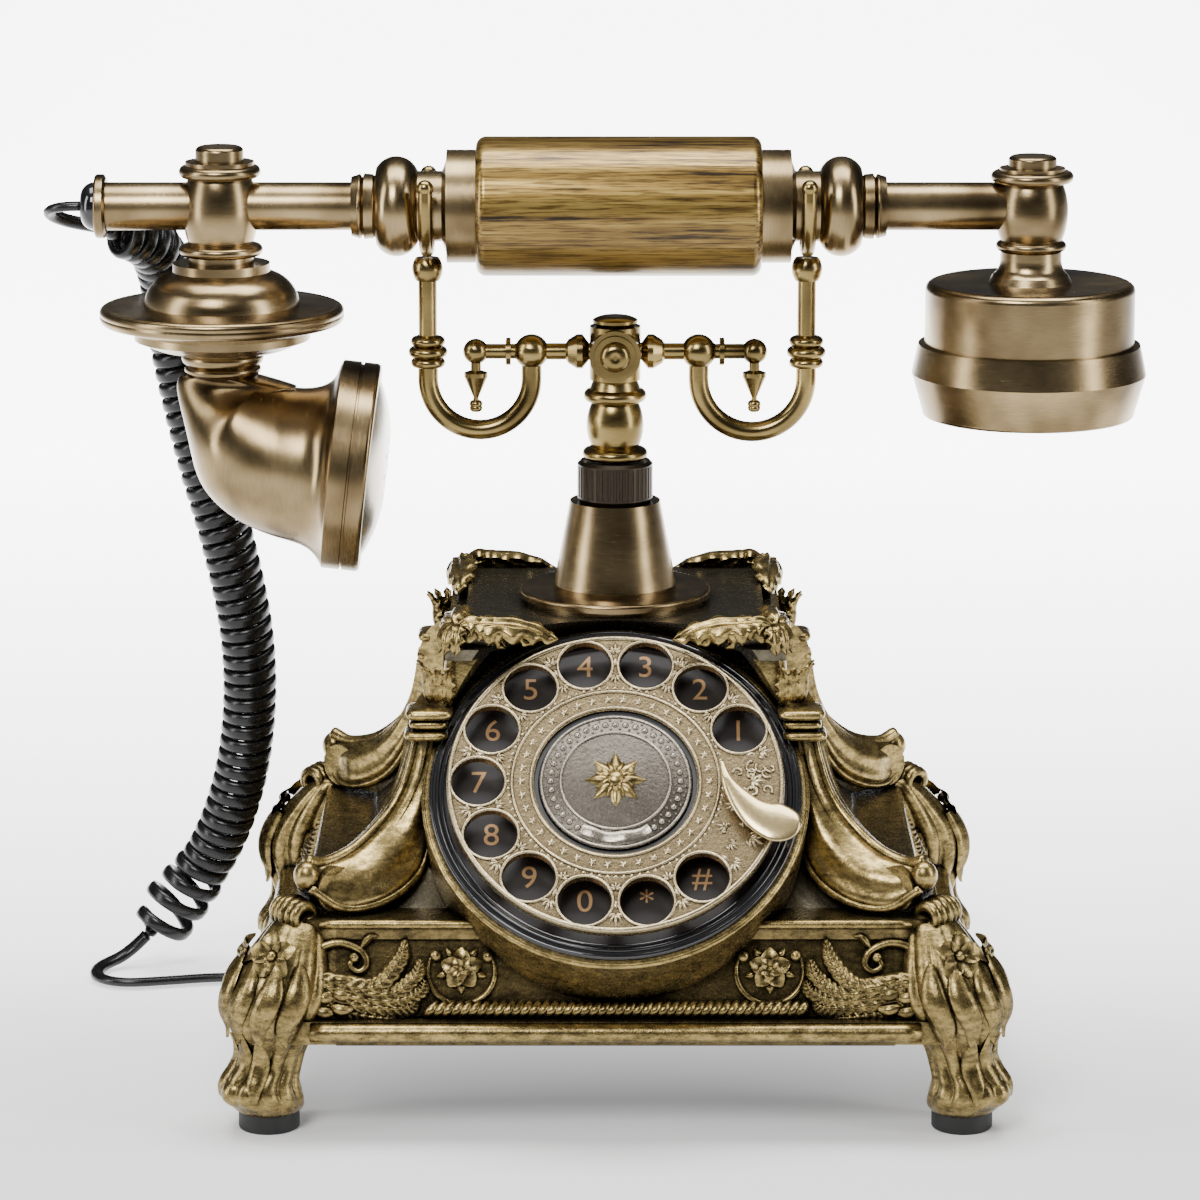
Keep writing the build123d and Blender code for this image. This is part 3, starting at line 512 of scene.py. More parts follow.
def make_cord():
    """The handset cord: its two leads and the helix between them, as one flat cord."""
    middle = evenly(route_points("coil_route", COIL), COIL_STEP)
    frames = turning_frames(middle)
    helix, outward = [], []
    total, turned = len(middle) - 1, 0.0
    for k in range(total + 1):
        done, left = k * COIL_STEP, (total - k) * COIL_STEP
        # the last turns hang open, wider and further apart
        opened = max(0, 1 - left / COIL_OPEN_RUN) ** 0.5
        turned += COIL_STEP / (COIL_PITCH * (1 + COIL_OPEN_PITCH * opened))
        swell = min(1, done / COIL_STARTS_IN, left / COIL_ENDS_IN)
        swell = swell * swell * (3 - 2 * swell)
        a = 2 * pi * turned
        _, side, up = frames[k]
        out = side * cos(a) + up * sin(a)
        helix.append(middle[k] + out * ((COIL_R + COIL_OPEN_R * opened) * swell))
        outward.append(out)
    top = evenly(route_points("upper_route", UPPER_LEAD), LEAD_STEP)
    low = evenly(route_points("lower_route", LOWER_LEAD), LEAD_STEP)
    line = top[:-1] + helix + low[1:]
    cord = Sculpt()
    ahead_frames = turning_frames(line)
    first, last = len(top) - 1, len(top) - 1 + len(helix)

    def place(s, t):
        k = round(s * (len(line) - 1))
        ahead, side, up = ahead_frames[k]
        if first <= k < last:
            thin = outward[k - first]
            thin = (thin - ahead * thin.dot(ahead)).normalized()
            wide = ahead.cross(thin)
        else:
            wide, thin = side, up
        a = 2 * pi * t
        # a superellipse: flat sides with rounded edges
        c, d = (abs(v) ** 0.75 * (1 if v >= 0 else -1) for v in (cos(a), sin(a)))
        return line[k] + wide * (CORD_W / 2 * c) + thin * (CORD_T / 2 * d)

    cord.grid(place, len(line) - 1, 10, closed=True, cap=True)
    piece = cord.make("handset_cord", CORD_BLACK, None, "cord_black")
    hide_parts("curly_cord", "cord_upper_lead", "cord_lower_lead")
    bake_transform(piece)


# ---------------- dial
DIGIT_SIZE, DIGIT_LIFT = 8.4, 3.0  # lifted, so that they show in the middle of their holes from the front
# radii on the wheel: two rings, the stars between them, the palmettes inside and outside the holes
RING_RADII, STARS_R, INNER_R, OUTER_R = (20.7, 25.3), 23, 29.8, 36.2
STARS, SCALLOPS, BEADS = 38, 84, 40
BUTTON_FACE_R, BUTTON_EDGE = 13.5, 5.1
RIBBON_FROM, RIBBON_TO = 238, 302  # degrees


def make_digits():
    """The printed figures on the number plate, one under each hole."""
    figures = "1234567890*#"
    for k, figure in enumerate(figures, start=1):
        text = bpy.data.curves.new(f"digit_{k}", "FONT")
        text.body = figure
        text.size = DIGIT_SIZE * MM
        text.align_x, text.align_y = "CENTER", "CENTER"
        text.extrude = 0.03 * MM
        mesh = mesh_of(text)
        x, v = flat_polar(HOLE_PITCH_R, k * HOLE_STEP)
        place = dial_point(x, v + DIGIT_LIFT, NUMBER_TOP + 0.05)
        turn = Matrix((Vector((1, 0, 0)), DIAL_U, DIAL_N)).transposed().to_4x4()
        mesh.transform(Matrix.Translation(place * MM) @ turn)
        mesh.materials.clear()
        mesh.materials.append(COPPER)
        piece = new_object(f"digit_{k}", mesh)
        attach(piece, "base")


def ring_bar(sculpt, radius, bar, w, segments=96, sides=6):
    """A round bar bent to a ring about the dial's axis."""
    def place(s, t):
        a, b = 360 * s, 2 * pi * t
        return dial_polar(radius + bar * cos(b), a, w + bar * sin(b))

    sculpt.grid(place, segments, sides, closed=True)


def flat_leaf(sculpt, x, v, turn, length, width, w=0.0, height=0.58):
    """A small teardrop petal that lies on the dial, from (x, v) in the direction turn."""
    a = radians(turn)

    def place(s, t):
        c = 2 * t - 1
        half = width / 2 * sin(pi * s ** 0.75) * c
        along = length * s
        return dial_point(x + along * cos(a) - half * sin(a), v + along * sin(a) + half * cos(a),
                          w + height * (1 - c * c) * sin(pi * min(s + 0.05, 1)))

    sculpt.grid(place, 8, 5)


def flat_scroll(sculpt, x, v, turn, size, hand):
    """A small curl that lies on the dial."""
    a0 = radians(turn)
    line = []
    for i in range(15):
        s = i / 14
        r, a = size * (1 - 0.72 * s), a0 + hand * 5.0 * s
        line.append(dial_point(x + r * cos(a), v + r * sin(a), 0.05))
    sculpt.tube(line, lambda s: 0.42 * (1 - 0.3 * s), 6)


def palmette(sculpt, r, deg, outward, size=1.0):
    """A fan of petals over two curls, on the ring between two holes."""
    x, v = flat_polar(r, deg)
    heading = deg if outward else deg + 180
    for k in (-2, -1, 0, 1, 2):
        flat_leaf(sculpt, x, v, heading + 34 * k, size * (3.4 - 0.45 * abs(k)), size * 1.15)
    for hand in (-1, 1):
        a = radians(heading + 90 * hand)
        x1, v1 = x + 1.1 * size * cos(a), v + 1.1 * size * sin(a)
        flat_scroll(sculpt, x1, v1, heading + 90 * hand + 180, 0.75 * size, hand)


def star(sculpt, x, v, turn, size):
    """A raised five-pointed star that lies on the dial."""
    first = len(sculpt.points)
    sculpt.points.append(dial_point(x, v, 0.5))
    for k in range(10):
        r, a = size if k % 2 == 0 else 0.45 * size, radians(turn + 36 * k)
        sculpt.points.append(dial_point(x + r * cos(a), v + r * sin(a), 0.12))
    sculpt.faces += [(first, first + 1 + k, first + 1 + (k + 1) % 10) for k in range(10)]


def make_engraving():
    """The raised pattern on the finger wheel."""
    wheel = Sculpt()
    for k in range(1, HOLES + 1):
        def rim(s, t, middle=flat_polar(HOLE_PITCH_R, k * HOLE_STEP)):
            a, b = 2 * pi * s, 2 * pi * t
            r = HOLE_R + 0.35 + 0.45 * cos(b)
            return dial_point(middle[0] + r * cos(a), middle[1] + r * sin(a), 0.42 * sin(b))

        wheel.grid(rim, 40, 6, closed=True)
    for k in range(HOLES + 1):
        deg = (k + 0.5) * HOLE_STEP
        palmette(wheel, OUTER_R, deg, True, 1.05)
        flat_leaf(wheel, *flat_polar(OUTER_R - 1, deg), deg + 180, 3.0, 1.5)
        if 0 < k < HOLES:
            palmette(wheel, INNER_R, deg, False, 0.85)
    for radius in RING_RADII:
        ring_bar(wheel, radius, 0.45, 0)
    ring_bar(wheel, WHEEL_R - 0.75, 0.7, -0.15)
    for k in range(STARS):
        deg = 360 * k / STARS
        star(wheel, *flat_polar(STARS_R, deg), deg, 1.15)
    for k in range(SCALLOPS):
        deg = 360 * k / SCALLOPS
        flat_leaf(wheel, *flat_polar(25.6, deg), deg, 1.5, 1.3, height=0.4)
    # arabesque by the finger stop, where the wheel has no holes
    for hand in (-1, 1):
        for k in range(3):
            flat_scroll(wheel, 33.5 + 2.2 * k * hand, 0.5 + 3.2 * hand, 90 * hand + 40 * k, 2.0 - 0.3 * k,
                        hand)
            flat_scroll(wheel, 30 + 3.4 * k, 2.4 * hand, 180 + 70 * k, 1.5, -hand)
    palmette(wheel, 33, 0, True, 1.3)
    for deg in (-12.9, -25.7):
        palmette(wheel, OUTER_R, deg, True, 1.05)
        palmette(wheel, INNER_R, deg, False, 0.85)
        palmette(wheel, 32.6, deg - 6.4, True, 0.8)
    wheel.make("wheel_engraving", ENGRAVED, "dial", "pale_brass")


def button_top(r):
    """The height of the button's domed face at a radius."""
    if r < BUTTON_FACE_R:
        return 1.2 - 0.7 * r / BUTTON_FACE_R
    return 0.5 - 0.7 * (r - BUTTON_FACE_R) / BUTTON_EDGE


def make_button_relief():
    """A rosette in the middle of the button, a beaded ring and a plain ribbon round it."""
    relief = Sculpt()
    for petal in range(8):
        flat_leaf(relief, 0, 0, 45 * petal, 7.6, 3.6, 0.95, 1.1)
        flat_leaf(relief, 0, 0, 45 * petal + 22.5, 5.4, 2.6, 1.1, 1.2)
    relief.blob(dial_point(0, 0, 1.6), (2.3, 2.3, 1.3), DIAL_N)
    relief.make("button_rosette", GOLD_BRIGHT, "button", "pale_brass")
    rings = Sculpt()
    for radius in (13.4, 18.1):
        ring_bar(rings, radius, 0.42, button_top(radius))
    for k in range(BEADS):
        deg = 360 * k / BEADS
        if not RIBBON_FROM - 2 < deg < RIBBON_TO + 2:
            rings.blob(dial_polar(15.8, deg, button_top(15.8)), (0.85, 0.85, 0.6), DIAL_N, 6, 10)
            for r in (14.5, 17.1):
                rings.blob(dial_polar(r, deg + 180 / BEADS, button_top(r)), (0.35, 0.35, 0.35), DIAL_N, 5, 8)

    def ribbon(s, t):
        r = 14.0 + 3.6 * t
        fold = 0.3 * sin(4 * pi * s)
        deg = RIBBON_FROM + (RIBBON_TO - RIBBON_FROM) * s
        return dial_polar(r, deg, button_top(r) + 0.55 + fold - 0.5 * (2 * t - 1) ** 4)

    rings.grid(ribbon, 40, 6)
    rings.make("button_border", SILVER_LIGHT, "button", "nickel_silver")


# ---------------- base ornament
# Each corner's pieces are made at +X +Y and mirrored to the other three.
# half lengths of the lower casing along X and Y, and the height they belong to
PLINTH = [(88, 80, 24.3), (88, 80, 30), (82, 75, 30), (75, 69, 48), (76, 70, 48), (76, 70, 52.7)]
FRIEZE = PLINTH[2:4]
CORNER_X, CORNER_Y = 68, 58  # where the corner block begins
SIDE_SHIFT = 11.5  # how much nearer the middle the ornament is on the two side faces


def on_frieze(along, z, out, side=False):
    """A point on the frieze's +Y face, or on its +X face, and out from it."""
    (x0, y0, z0), (x1, y1, z1) = FRIEZE
    share = (z - z0) / (z1 - z0)
    if side:
        return Vector((x0 + (x1 - x0) * share + out, along - SIDE_SHIFT, z))
    return Vector((along, y0 + (y1 - y0) * share + out, z))


def frieze_line(points, side):
    """The same for a line of (along, height, out)."""
    return [on_frieze(*p, side) for p in points]


def frieze_out(side):
    """The direction the frieze faces."""
    return Vector((1, 0, 0.38)).normalized() if side else Vector((0, 1, 0.33)).normalized()


def plinth_corner():
    """The casing's corner that a leg carries."""
    block = Sculpt()
    for (x0, y0, z0), (x1, y1, z1) in zip(PLINTH, PLINTH[1:]):
        first = len(block.points)
        block.points += [Vector(p) for p in ((CORNER_X, y0, z0), (x0, y0, z0), (x0, CORNER_Y, z0),
                                             (CORNER_X, y1, z1), (x1, y1, z1), (x1, CORNER_Y, z1))]
        block.faces += [(first, first + 3, first + 4, first + 1),
                        (first + 1, first + 4, first + 5, first + 2)]
    for (x, y, z), up in ((PLINTH[0], False), (PLINTH[-1], True)):
        first = len(block.points)
        block.points += [Vector(p) for p in ((CORNER_X, CORNER_Y, z), (x, CORNER_Y, z), (x, y, z),
                                             (CORNER_X, y, z))]
        face = (first, first + 1, first + 2, first + 3)
        block.faces.append(face if up else tuple(reversed(face)))
    return block


# the leg's middle (x, y, z), radius and share of grooving from the foot up
LEG_RINGS = [(85, 69, 4.5, 7.6, 0), (85.3, 69.4, 6, 9.0, 0.2), (86.2, 70.6, 9, 9.9, 0.6),
             (86.3, 70.8, 13, 9.2, 1), (84.6, 70.2, 17, 8.2, 1), (83.8, 70.2, 21, 8.6, 1),
             (83.2, 71.2, 26, 10.8, 1), (82.8, 71.6, 31, 12.3, 1), (82.0, 71.2, 36, 12.5, 0.9),
             (80.8, 69.8, 41, 11.4, 0.7), (79.2, 67.8, 46, 9.2, 0.5), (77.4, 65.0, 51, 6.6, 0.3),
             (76.4, 63.4, 54, 3.6, 0), (76.2, 63.2, 55, 0.4, 0)]
LEG_GROOVES = 11


def leg_ring(s):
    """The leg's ring at a share of its height, with the shape smoothed between the ones given."""
    last = len(LEG_RINGS) - 1
    at = s * last
    k = min(int(at), last - 1)
    ends = [LEG_RINGS[max(k - 1, 0)], LEG_RINGS[k], LEG_RINGS[k + 1], LEG_RINGS[min(k + 2, last)]]
    return [between(*four, at - k) for four in zip(*ends)]


def leg_surface(s, t):
    """A leg grooved like foliage, its toe pushed out and its grooves swinging round the knee."""
    x, y, z, r, groove = leg_ring(s)
    a = 2 * pi * t
    outward = max(0, cos(a - pi / 4))
    swing = 0.5 * sin(z / 9)
    ridge = abs(sin(LEG_GROOVES / 2 * a + swing * 2)) ** 0.6
    r = r * (1 - 0.16 * groove * (1 - ridge)) + 2.2 * outward ** 4 * max(0, 1 - ((z - 11.5) / 4.5) ** 2)
    return Vector((x + r * cos(a), y + r * sin(a), z))


def leg_foliage(leg):
    """Leaves that hug the leg from its toe to its knee and fall from its knee."""
    def on_leg(z, deg, lift):
        x, y, _, r, _ = leg_ring_at(z)
        along, beside = flat_polar(r + lift, deg)
        return x + along, y + beside, z

    for deg, low, high, lean in ((45, 10, 28, 0), (8, 9, 26, 12), (82, 9, 26, -12)):
        spine = [on_leg(low + (high - low) * i / 5, deg + lean * i / 5, 0.1) for i in range(6)]
        leg.leaf(spine, (*flat_polar(1, deg), 0.1), 6.0, height=1.6, ribs=0.3)
    for deg in (-20, 12, 45, 78, 110):
        spine = [on_leg(44 - 20 * i / 6, deg + 5 * sin(i), 1.2 if i == 6 else 0.2) for i in range(7)]
        leg.leaf(spine, (*flat_polar(1, deg), 0.2), 7.6, height=1.9, ribs=0.55)


def leg_ring_at(z):
    """The leg's ring at a height, found by halving."""
    low, high = 0.0, 1.0
    for _ in range(14):
        s = (low + high) / 2
        if leg_ring(s)[2] < z:
            low = s
        else:
            high = s
    return leg_ring(low)


def flower(sculpt, centre, out, size, petals=5, turn=0):
    """An open flower with cupped petals round a bead."""
    side, up = across(out)
    out, centre = Vector(out).normalized(), Vector(centre)
    for k in range(petals):
        a = 2 * pi * k / petals + turn
        ahead = side * cos(a) + up * sin(a)
        beside = out.cross(ahead)

        def petal(s, t, ahead=ahead, beside=beside):
            c = 2 * t - 1
            half = 0.42 * size * sin(pi * min(0.06 + 0.88 * s, 1)) ** 0.7
            lift = 0.2 * size * sin(pi * s) * (0.45 + 0.75 * c * c) + 0.05 * size
            return centre + ahead * (size * s * (1 - 0.06 * c * c)) + beside * (half * c) + out * lift

        sculpt.grid(petal, 9, 8)
    sculpt.blob(centre + out * (0.12 * size), (0.22 * size, 0.22 * size, 0.2 * size), out, 6, 10)


def wing(sculpt, side):
    """Six barbed feathers that sweep in from the knee and curve up at their tips, under short coverts."""
    tips = [(51, 48.2), (47.2, 43.5), (46.2, 38.6), (48.4, 34), (53.2, 30.6), (60, 28.4)]
    for k, (x, z) in enumerate(tips):
        root_z = 40.5 - 1.9 * k
        droop = -3.4 + 0.75 * k
        line = [(80 - 0.4 * k, root_z), (70, root_z + droop * 0.5),
                (x + 8 + k * 0.4, root_z + droop - 0.5 * k), (x + 1.8, (z + root_z + droop - k) / 2), (x, z)]
        spine = frieze_line([(a, h, 2.6 - 0.32 * k - 1.1 * i / 4) for i, (a, h) in enumerate(line)], side)
        feather(sculpt, spine, frieze_out(side), 5.2)
    for k in range(3):
        for row in range(3):
            a, h = 77.5 - 4.2 * row, 38.6 - 3.4 * k + 0.6 * row
            spine = frieze_line([(a, h, 2.8), (a - 3, h - 0.8, 3.2), (a - 6, h - 0.3, 2.2)], side)
            sculpt.leaf(spine, frieze_out(side), 3.8, height=1.2, ribs=0.3, rows=12, columns=8)


def feather(sculpt, spine, out, width):
    """A long feather with a raised shaft and slanting barbs."""
    line = smooth_line(spine, 70)

    def place(s, t):
        k = round(s * (len(line) - 1))
        ahead = ahead_at(line, k)
        side = ahead.cross(out).normalized()
        c = 2 * t - 1
        half = width / 2 * min(1, 0.5 + 1.4 * s) * (1 - s ** 5) ** 0.5
        barbs = 0.5 * sin(2 * pi * (17 * s - 1.1 * abs(c))) * min(1, 4 * abs(c)) * (1 - 0.7 * c * c)
        crown = 1.6 * (1 - c * c) ** 0.5 + 0.45 * max(0, 1 - abs(c) * 6)
        return line[k] + side * (half * c) + out * (crown + barbs)

    sculpt.grid(place, 70, 12)


def frieze_scroll(sculpt, side):
    """The curling bar over the wing."""
    line = [(74.5, 42.5), (71.5, 46.2), (66.5, 47.2), (61.8, 45.2), (60.6, 42.2), (62.6, 40.6), (64.6, 42),
            (63.6, 43.8)]
    points = [on_frieze(a, h, 1.2, side) for a, h in line]
    sculpt.tube(smooth_line(points, 50), lambda s: 1.15 * (1 - 0.45 * s), 8)
    sculpt.blob(points[-1], (1.4, 1.4, 1.2), frieze_out(side), 6, 10)
    spine = frieze_line([(62, 46, 1.0), (60, 48.6, 1.4), (57.6, 48.8, 1.2)], side)
    sculpt.leaf(spine, frieze_out(side), 2.6, rows=10, columns=6)


def medallion(sculpt, side):
    """A flower in a curled frame."""
    a0 = 33 if side else 37.5
    centre = on_frieze(a0, 41, 0.6, side)
    out = frieze_out(side)
    flower(sculpt, centre, out, 5.2, 5, 0.3)
    flower(sculpt, centre + out * 1.0, out, 3.0, 5, 0.9)
    for k in range(5):
        a = 2 * pi * k / 5 + 0.95
        spine = frieze_line([(a0 + r * cos(a), 41 + r * sin(a) * 0.9, 0.5) for r in (3.5, 5, 6.4)], side)
        sculpt.leaf(spine, out, 2.6, rows=8, columns=6, height=0.7)
    ring = [on_frieze(a0 + 8.2 * cos(radians(d)), 40.4 + 7.6 * sin(radians(d)), 0.6, side)
            for d in range(150, 395, 8)]
    sculpt.tube(ring, lambda s: 0.85 * (0.4 + 0.6 * sin(pi * s)), 8)
    for d in (150, 392):
        end = on_frieze(a0 + 7.4 * cos(radians(d)), 40.4 + 7 * sin(radians(d)), 0.7, side)
        sculpt.blob(end, (1.5, 1.5, 1.1), out, 6, 10)


def make_legs():
    """The four legs with their foliage, and the ornament of the frieze between them."""
    corner = plinth_corner()
    corner.grid(leg_surface, 64, 110, closed=True, cap=True)
    leg_foliage(corner)
    piece = four_ways(corner).make("cabriole_legs", GOLD, "base", "aged_gold")
    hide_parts("legs")
    trim = Sculpt()
    flower(trim, (83.0, 78.2, 46), (0.3, 0.85, 0.4), 6.2, 5, 0.2)
    flower(trim, (89.6, 70, 44.5), (0.9, 0.3, 0.4), 5.6, 5, 0.5)
    for side in (False, True):
        wing(trim, side)
        frieze_scroll(trim, side)
        medallion(trim, side)
    knee_curl(trim)
    four_ways(trim).make("wings_and_flowers", GOLD, "base", "aged_gold")


def knee_curl(sculpt):
    """The shell that rolls over at the top of the leg."""
    diagonal = Vector((0.72, 0.69, 0))
    beside = Vector((-0.69, 0.72, 0))
    centre = Vector((78.5, 65.5, 53.2))
    for k in range(-2, 3):
        start = centre + beside * (1.9 * k)
        reach, high = diagonal * (3.6 - 0.3 * abs(k)), UP * (3.4 - 0.35 * abs(k))
        line = [start + reach * cos(radians(d)) + high * sin(radians(d)) for d in range(-60, 221, 20)]
        sculpt.tube(line, lambda s: 1.35 * (0.75 + 0.35 * sin(pi * s)), 8)


# ---------------- corner straps and casing trim
# a strap's ridge, and the lines where its two flanks meet the casing, from the top down
STRAP_RIM = [(47.5, 42.4, 98.8), (50.7, 45, 85), (53.5, 47.2, 77.8), (57.9, 50.7, 72), (64, 55.5, 67),
             (70.8, 61, 64.8), (75.4, 64.6, 66)]
STRAP_FRONT = [(43.4, 42.4, 94), (44, 45, 84), (45, 48.5, 74), (47.5, 54.5, 62), (55, 61.5, 56),
               (65.5, 66.2, 54.6), (74.2, 67.2, 60)]
STRAP_SIDE = [(45.8, 39.6, 94), (48.6, 40, 84), (52, 40.8, 74), (58.6, 43, 62), (66.2, 49, 56),
              (73, 57, 54.6), (77, 63.4, 60)]
STRAP_STEPS = 48


def strap_flank(sculpt, low, out):
    """One flank of a strap, from its rim down to the casing, bulging like a hull towards its foot."""
    rim, foot = smooth_line(STRAP_RIM, STRAP_STEPS), smooth_line(low, STRAP_STEPS)
    beside = Vector(out)

    def place(s, t):
        k = round(s * STRAP_STEPS)
        closing = min(1, 4 * (1.0 - s))
        over = rim[k] + beside * (8 * closing) + UP * (3 * closing - 1)
        under = foot[k] + beside * (2.5 * s * closing)
        flute = 0.35 * sin(6 * pi * t) * sin(pi * s)
        bend = (rim[k] * (1 - t) ** 3 + over * (3 * t * (1 - t) ** 2)
                + under * (3 * t * t * (1 - t)) + foot[k] * t ** 3)
        return bend + beside * flute

    sculpt.grid(place, STRAP_STEPS, 18)


def strap_piece():
    """A corner strap: two flanks under a rolled ridge, ending in a knob."""
    piece = Sculpt()
    strap_flank(piece, STRAP_FRONT, (-0.623, 0.782, 0))
    strap_flank(piece, STRAP_SIDE, (0.623, -0.782, 0))
    piece.tube(smooth_line(STRAP_RIM, STRAP_STEPS), lambda s: 0.9 + 0.9 * s, 10)
    for low in (STRAP_FRONT, STRAP_SIDE):
        piece.tube(smooth_line(low, STRAP_STEPS), lambda s: 0.7 + 0.5 * s, 8)
    piece.blob((75.2, 65, 62.6), (3.3, 3.3, 3.7), UP, 12, 18)
    return piece


def pad(sculpt, centre, half, half_height):
    """A square plate with rounded corners and edges, level, turned to the base's sides."""
    def place(s, t):
        a, b = 2 * pi * t, pi * (s - 0.5)
        square = (abs(cos(a)) ** 6 + abs(sin(a)) ** 6) ** (-1 / 6)
        ring = half * square * (0.001 + cos(b)) ** 0.35
        return Vector(centre) + Vector((ring * cos(a), ring * sin(a), half_height * sin(b)))

    sculpt.grid(place, 10, 40, closed=True)


# the leaves over and under a capital: directions, start, steps (out, up), lean at the root, width, height
CAPITAL_LEAVES = [
    ((-15, 15, 45, 75, 105), (42.5, 39.6, 99), ((2.6, 0), (3.6, 4), (4.2, 8), (6.6, 11.4)), 0.1, 6.4, 1.6),
    ((15, 45, 75), (44.4, 41.8, 92), ((1.6, 0), (3.0, -5), (4.8, -9), (8.0, -12)), 0.2, 5.4, 1.5)]


def capital():
    """The stacked head of a strap, with leaves above and below it."""
    piece = Sculpt()
    for x, z, size, high in ((45.8, 98.4, 5.8, 1.5), (46.0, 95.8, 4.8, 1.4), (46.6, 93.2, 5.4, 1.3)):
        pad(piece, (x, x - 2.8, z), size, high)
    for degrees, start, steps, lean, width, height in CAPITAL_LEAVES:
        for deg in degrees:
            out = Vector((*flat_polar(1, deg), 0))
            line = [Vector(start) + out * r + UP * h for r, h in steps]
            piece.leaf(line, [(out.x, out.y, lean), (out.x, out.y, 0.9)], width, 5, height, ribs=0.5)
    return piece


def corner_acanthus():
    """The gold leaf that lies on a corner of the top plate and droops over its edges."""
    piece = Sculpt()
    for lean in (False, True):
        for k, (reach, width) in enumerate(((25, 11), (19, 9), (12, 8))):
            line = [(39.2, 39.2, 116.5 + 0.4 * k), (39.2 - reach * 0.35, 39.8, 118.6 + 0.3 * k),
                    (39.2 - reach * 0.75, 39.2, 117.6 - 0.6 * k), (39.2 - reach, 40.0, 115.4 - k)]
            if lean:
                line = [(y, x, z) for x, y, z in line]
            out = (0.55, 0.2, 0.85) if lean else (0.2, 0.55, 0.85)
            piece.leaf(line, out, width, lobes=5, height=2.8, notch=0.42, ribs=0.7, rows=50, columns=14)
    for deg in (15, 45, 75):
        out = Vector((*flat_polar(1, deg), 0))
        start = Vector((38, 38, 117.4))
        line = [start, start + out * 3 + UP, start + out * 5 - UP * 1.6, start + out * 5.4 - UP * 5]
        piece.leaf(line, [UP, (out.x, out.y, 0.3)], 6.5, lobes=4, height=1.6, ribs=0.6)
    return piece


def casing_half(z):
    """The casing's half lengths at a height."""
    for (x0, y0, z0), (x1, y1, z1) in zip(CASING, CASING[1:]):
        if z0 <= z <= z1:
            share = (z - z0) / (z1 - z0)
            return x0 + (x1 - x0) * share, y0 + (y1 - y0) * share
    return CASING[-1][:2]


def make_panel_drops():
    """A hanging spray of leaves on each side panel and on the back."""
    drops = Sculpt()
    for fx, fy in ((-1, 0), (1, 0), (0, 1)):
        def at(a, z, out, fx=fx, fy=fy):
            x, y = casing_half(z)
            return fx * (x + out) + abs(fy) * a, fy * (y + out) + abs(fx) * a, z

        out = Vector((fx, fy, 0.5)).normalized()
        for z, reach, width in ((90, 6, 3.4), (84, 8, 4.2), (77, 9, 5), (70, 8, 5)):
            for hand in (-1, 1):
                line = [at(0, z, 0.4), at(hand * reach * 0.5, z - 1.5, 1.0), at(hand * reach, z - 6, 0.6)]
                drops.leaf(line, out, width, lobes=4, height=1.1, rows=18, columns=8)
        drops.leaf([at(0, 72, 0.4), at(0, 66, 1.2), at(0, 60, 0.8)], out, 7, lobes=5, height=1.5)
        drops.tube([at(0, z, 0.5) for z in range(96, 62, -2)], 0.9, 8)
        flower(drops, at(0, 92, 0.6), out, 4)
        flower(drops, at(0, 71, 1.2), out, 3.4, 5, 0.4)
    drops.make("panel_leaf_drops", GOLD, "base", "aged_gold")


def make_straps():
    """The straps with their capitals, and the leaves on the corners of the top plate."""
    corner = strap_piece()
    corner.add(capital())
    four_ways(corner).make("corner_straps", GOLD_BRIGHT, "base", "aged_gold")
    four_ways(corner_acanthus()).make("corner_acanthus", GOLD_BRIGHT, "base", "aged_gold")


def make_rope():
    """The twisted moulding along the foot of the frieze, between the wings, and the round bar under it."""
    rope = Sculpt()
    for side, reach, outs in ((False, 46, (75.4, 76.6, 74.8)), (True, 34, (82.4, 83.6, 81.8))):
        count = 2 * round(reach / 2.1)
        for k in range(count):
            a = -reach + 2 * reach * (k + 0.5) / count
            for hand in (-1, 1):
                strand = [(hand * out, a + run, z) if side else (a + run, hand * out, z)
                          for out, run, z in zip(outs, (-1.7, 0, 1.7), (30.2, 31.8, 33.6))]
                rope.tube(smooth_line(strand, 6), lambda s: 1.25 * (0.55 + 0.5 * sin(pi * s)), 8)
    for hand in (-1, 1):
        rope.tube([(x, hand * 80.4, 27.4) for x in range(-74, 75, 4)], 2.3, 14)
        rope.tube([(hand * 88.0, y, 27.4) for y in range(-62, 63, 4)], 2.3, 14)
        rope.tube([(x, hand * 69.8, 51.6) for x in range(-72, 73, 4)], 1.2, 10)
        rope.tube([(hand * 75.8, y, 51.6) for y in range(-64, 65, 4)], 1.2, 10)
    rope.make("rope_and_mouldings", GOLD, "base", "aged_gold")


def make_dial_rings():
    """The bright rolled edge of the gold ring round the dial, and the stepped ridges of the black one."""
    rim = Sculpt()
    ring_bar(rim, 46.6, 0.9, -7.2, 140, 10)
    rim.make("housing_rim", GOLD_BRIGHT, "base", "aged_gold")
    ridges = Sculpt()
    for radius, w, bar in ((45.1, -5.3, 0.55), (43.6, -4.95, 0.5), (42.3, -5.2, 0.4)):
        ring_bar(ridges, radius, bar, w, 120)
    ridges.make("bezel_ridges", BLACK_GLOSS, "base", "black_gloss")


# the middle line of the finger stop, as radius and degrees, how high it lies and where its round end starts
STOP_LINE = [(26.0, 9), (27.0, -2), (30.2, -11), (35.4, -17.2), (41.0, -18.4), (46.9, -16.4)]
STOP_W, STOP_ROUND_FROM, STOP_STEPS = 3.1, 0.78, 44


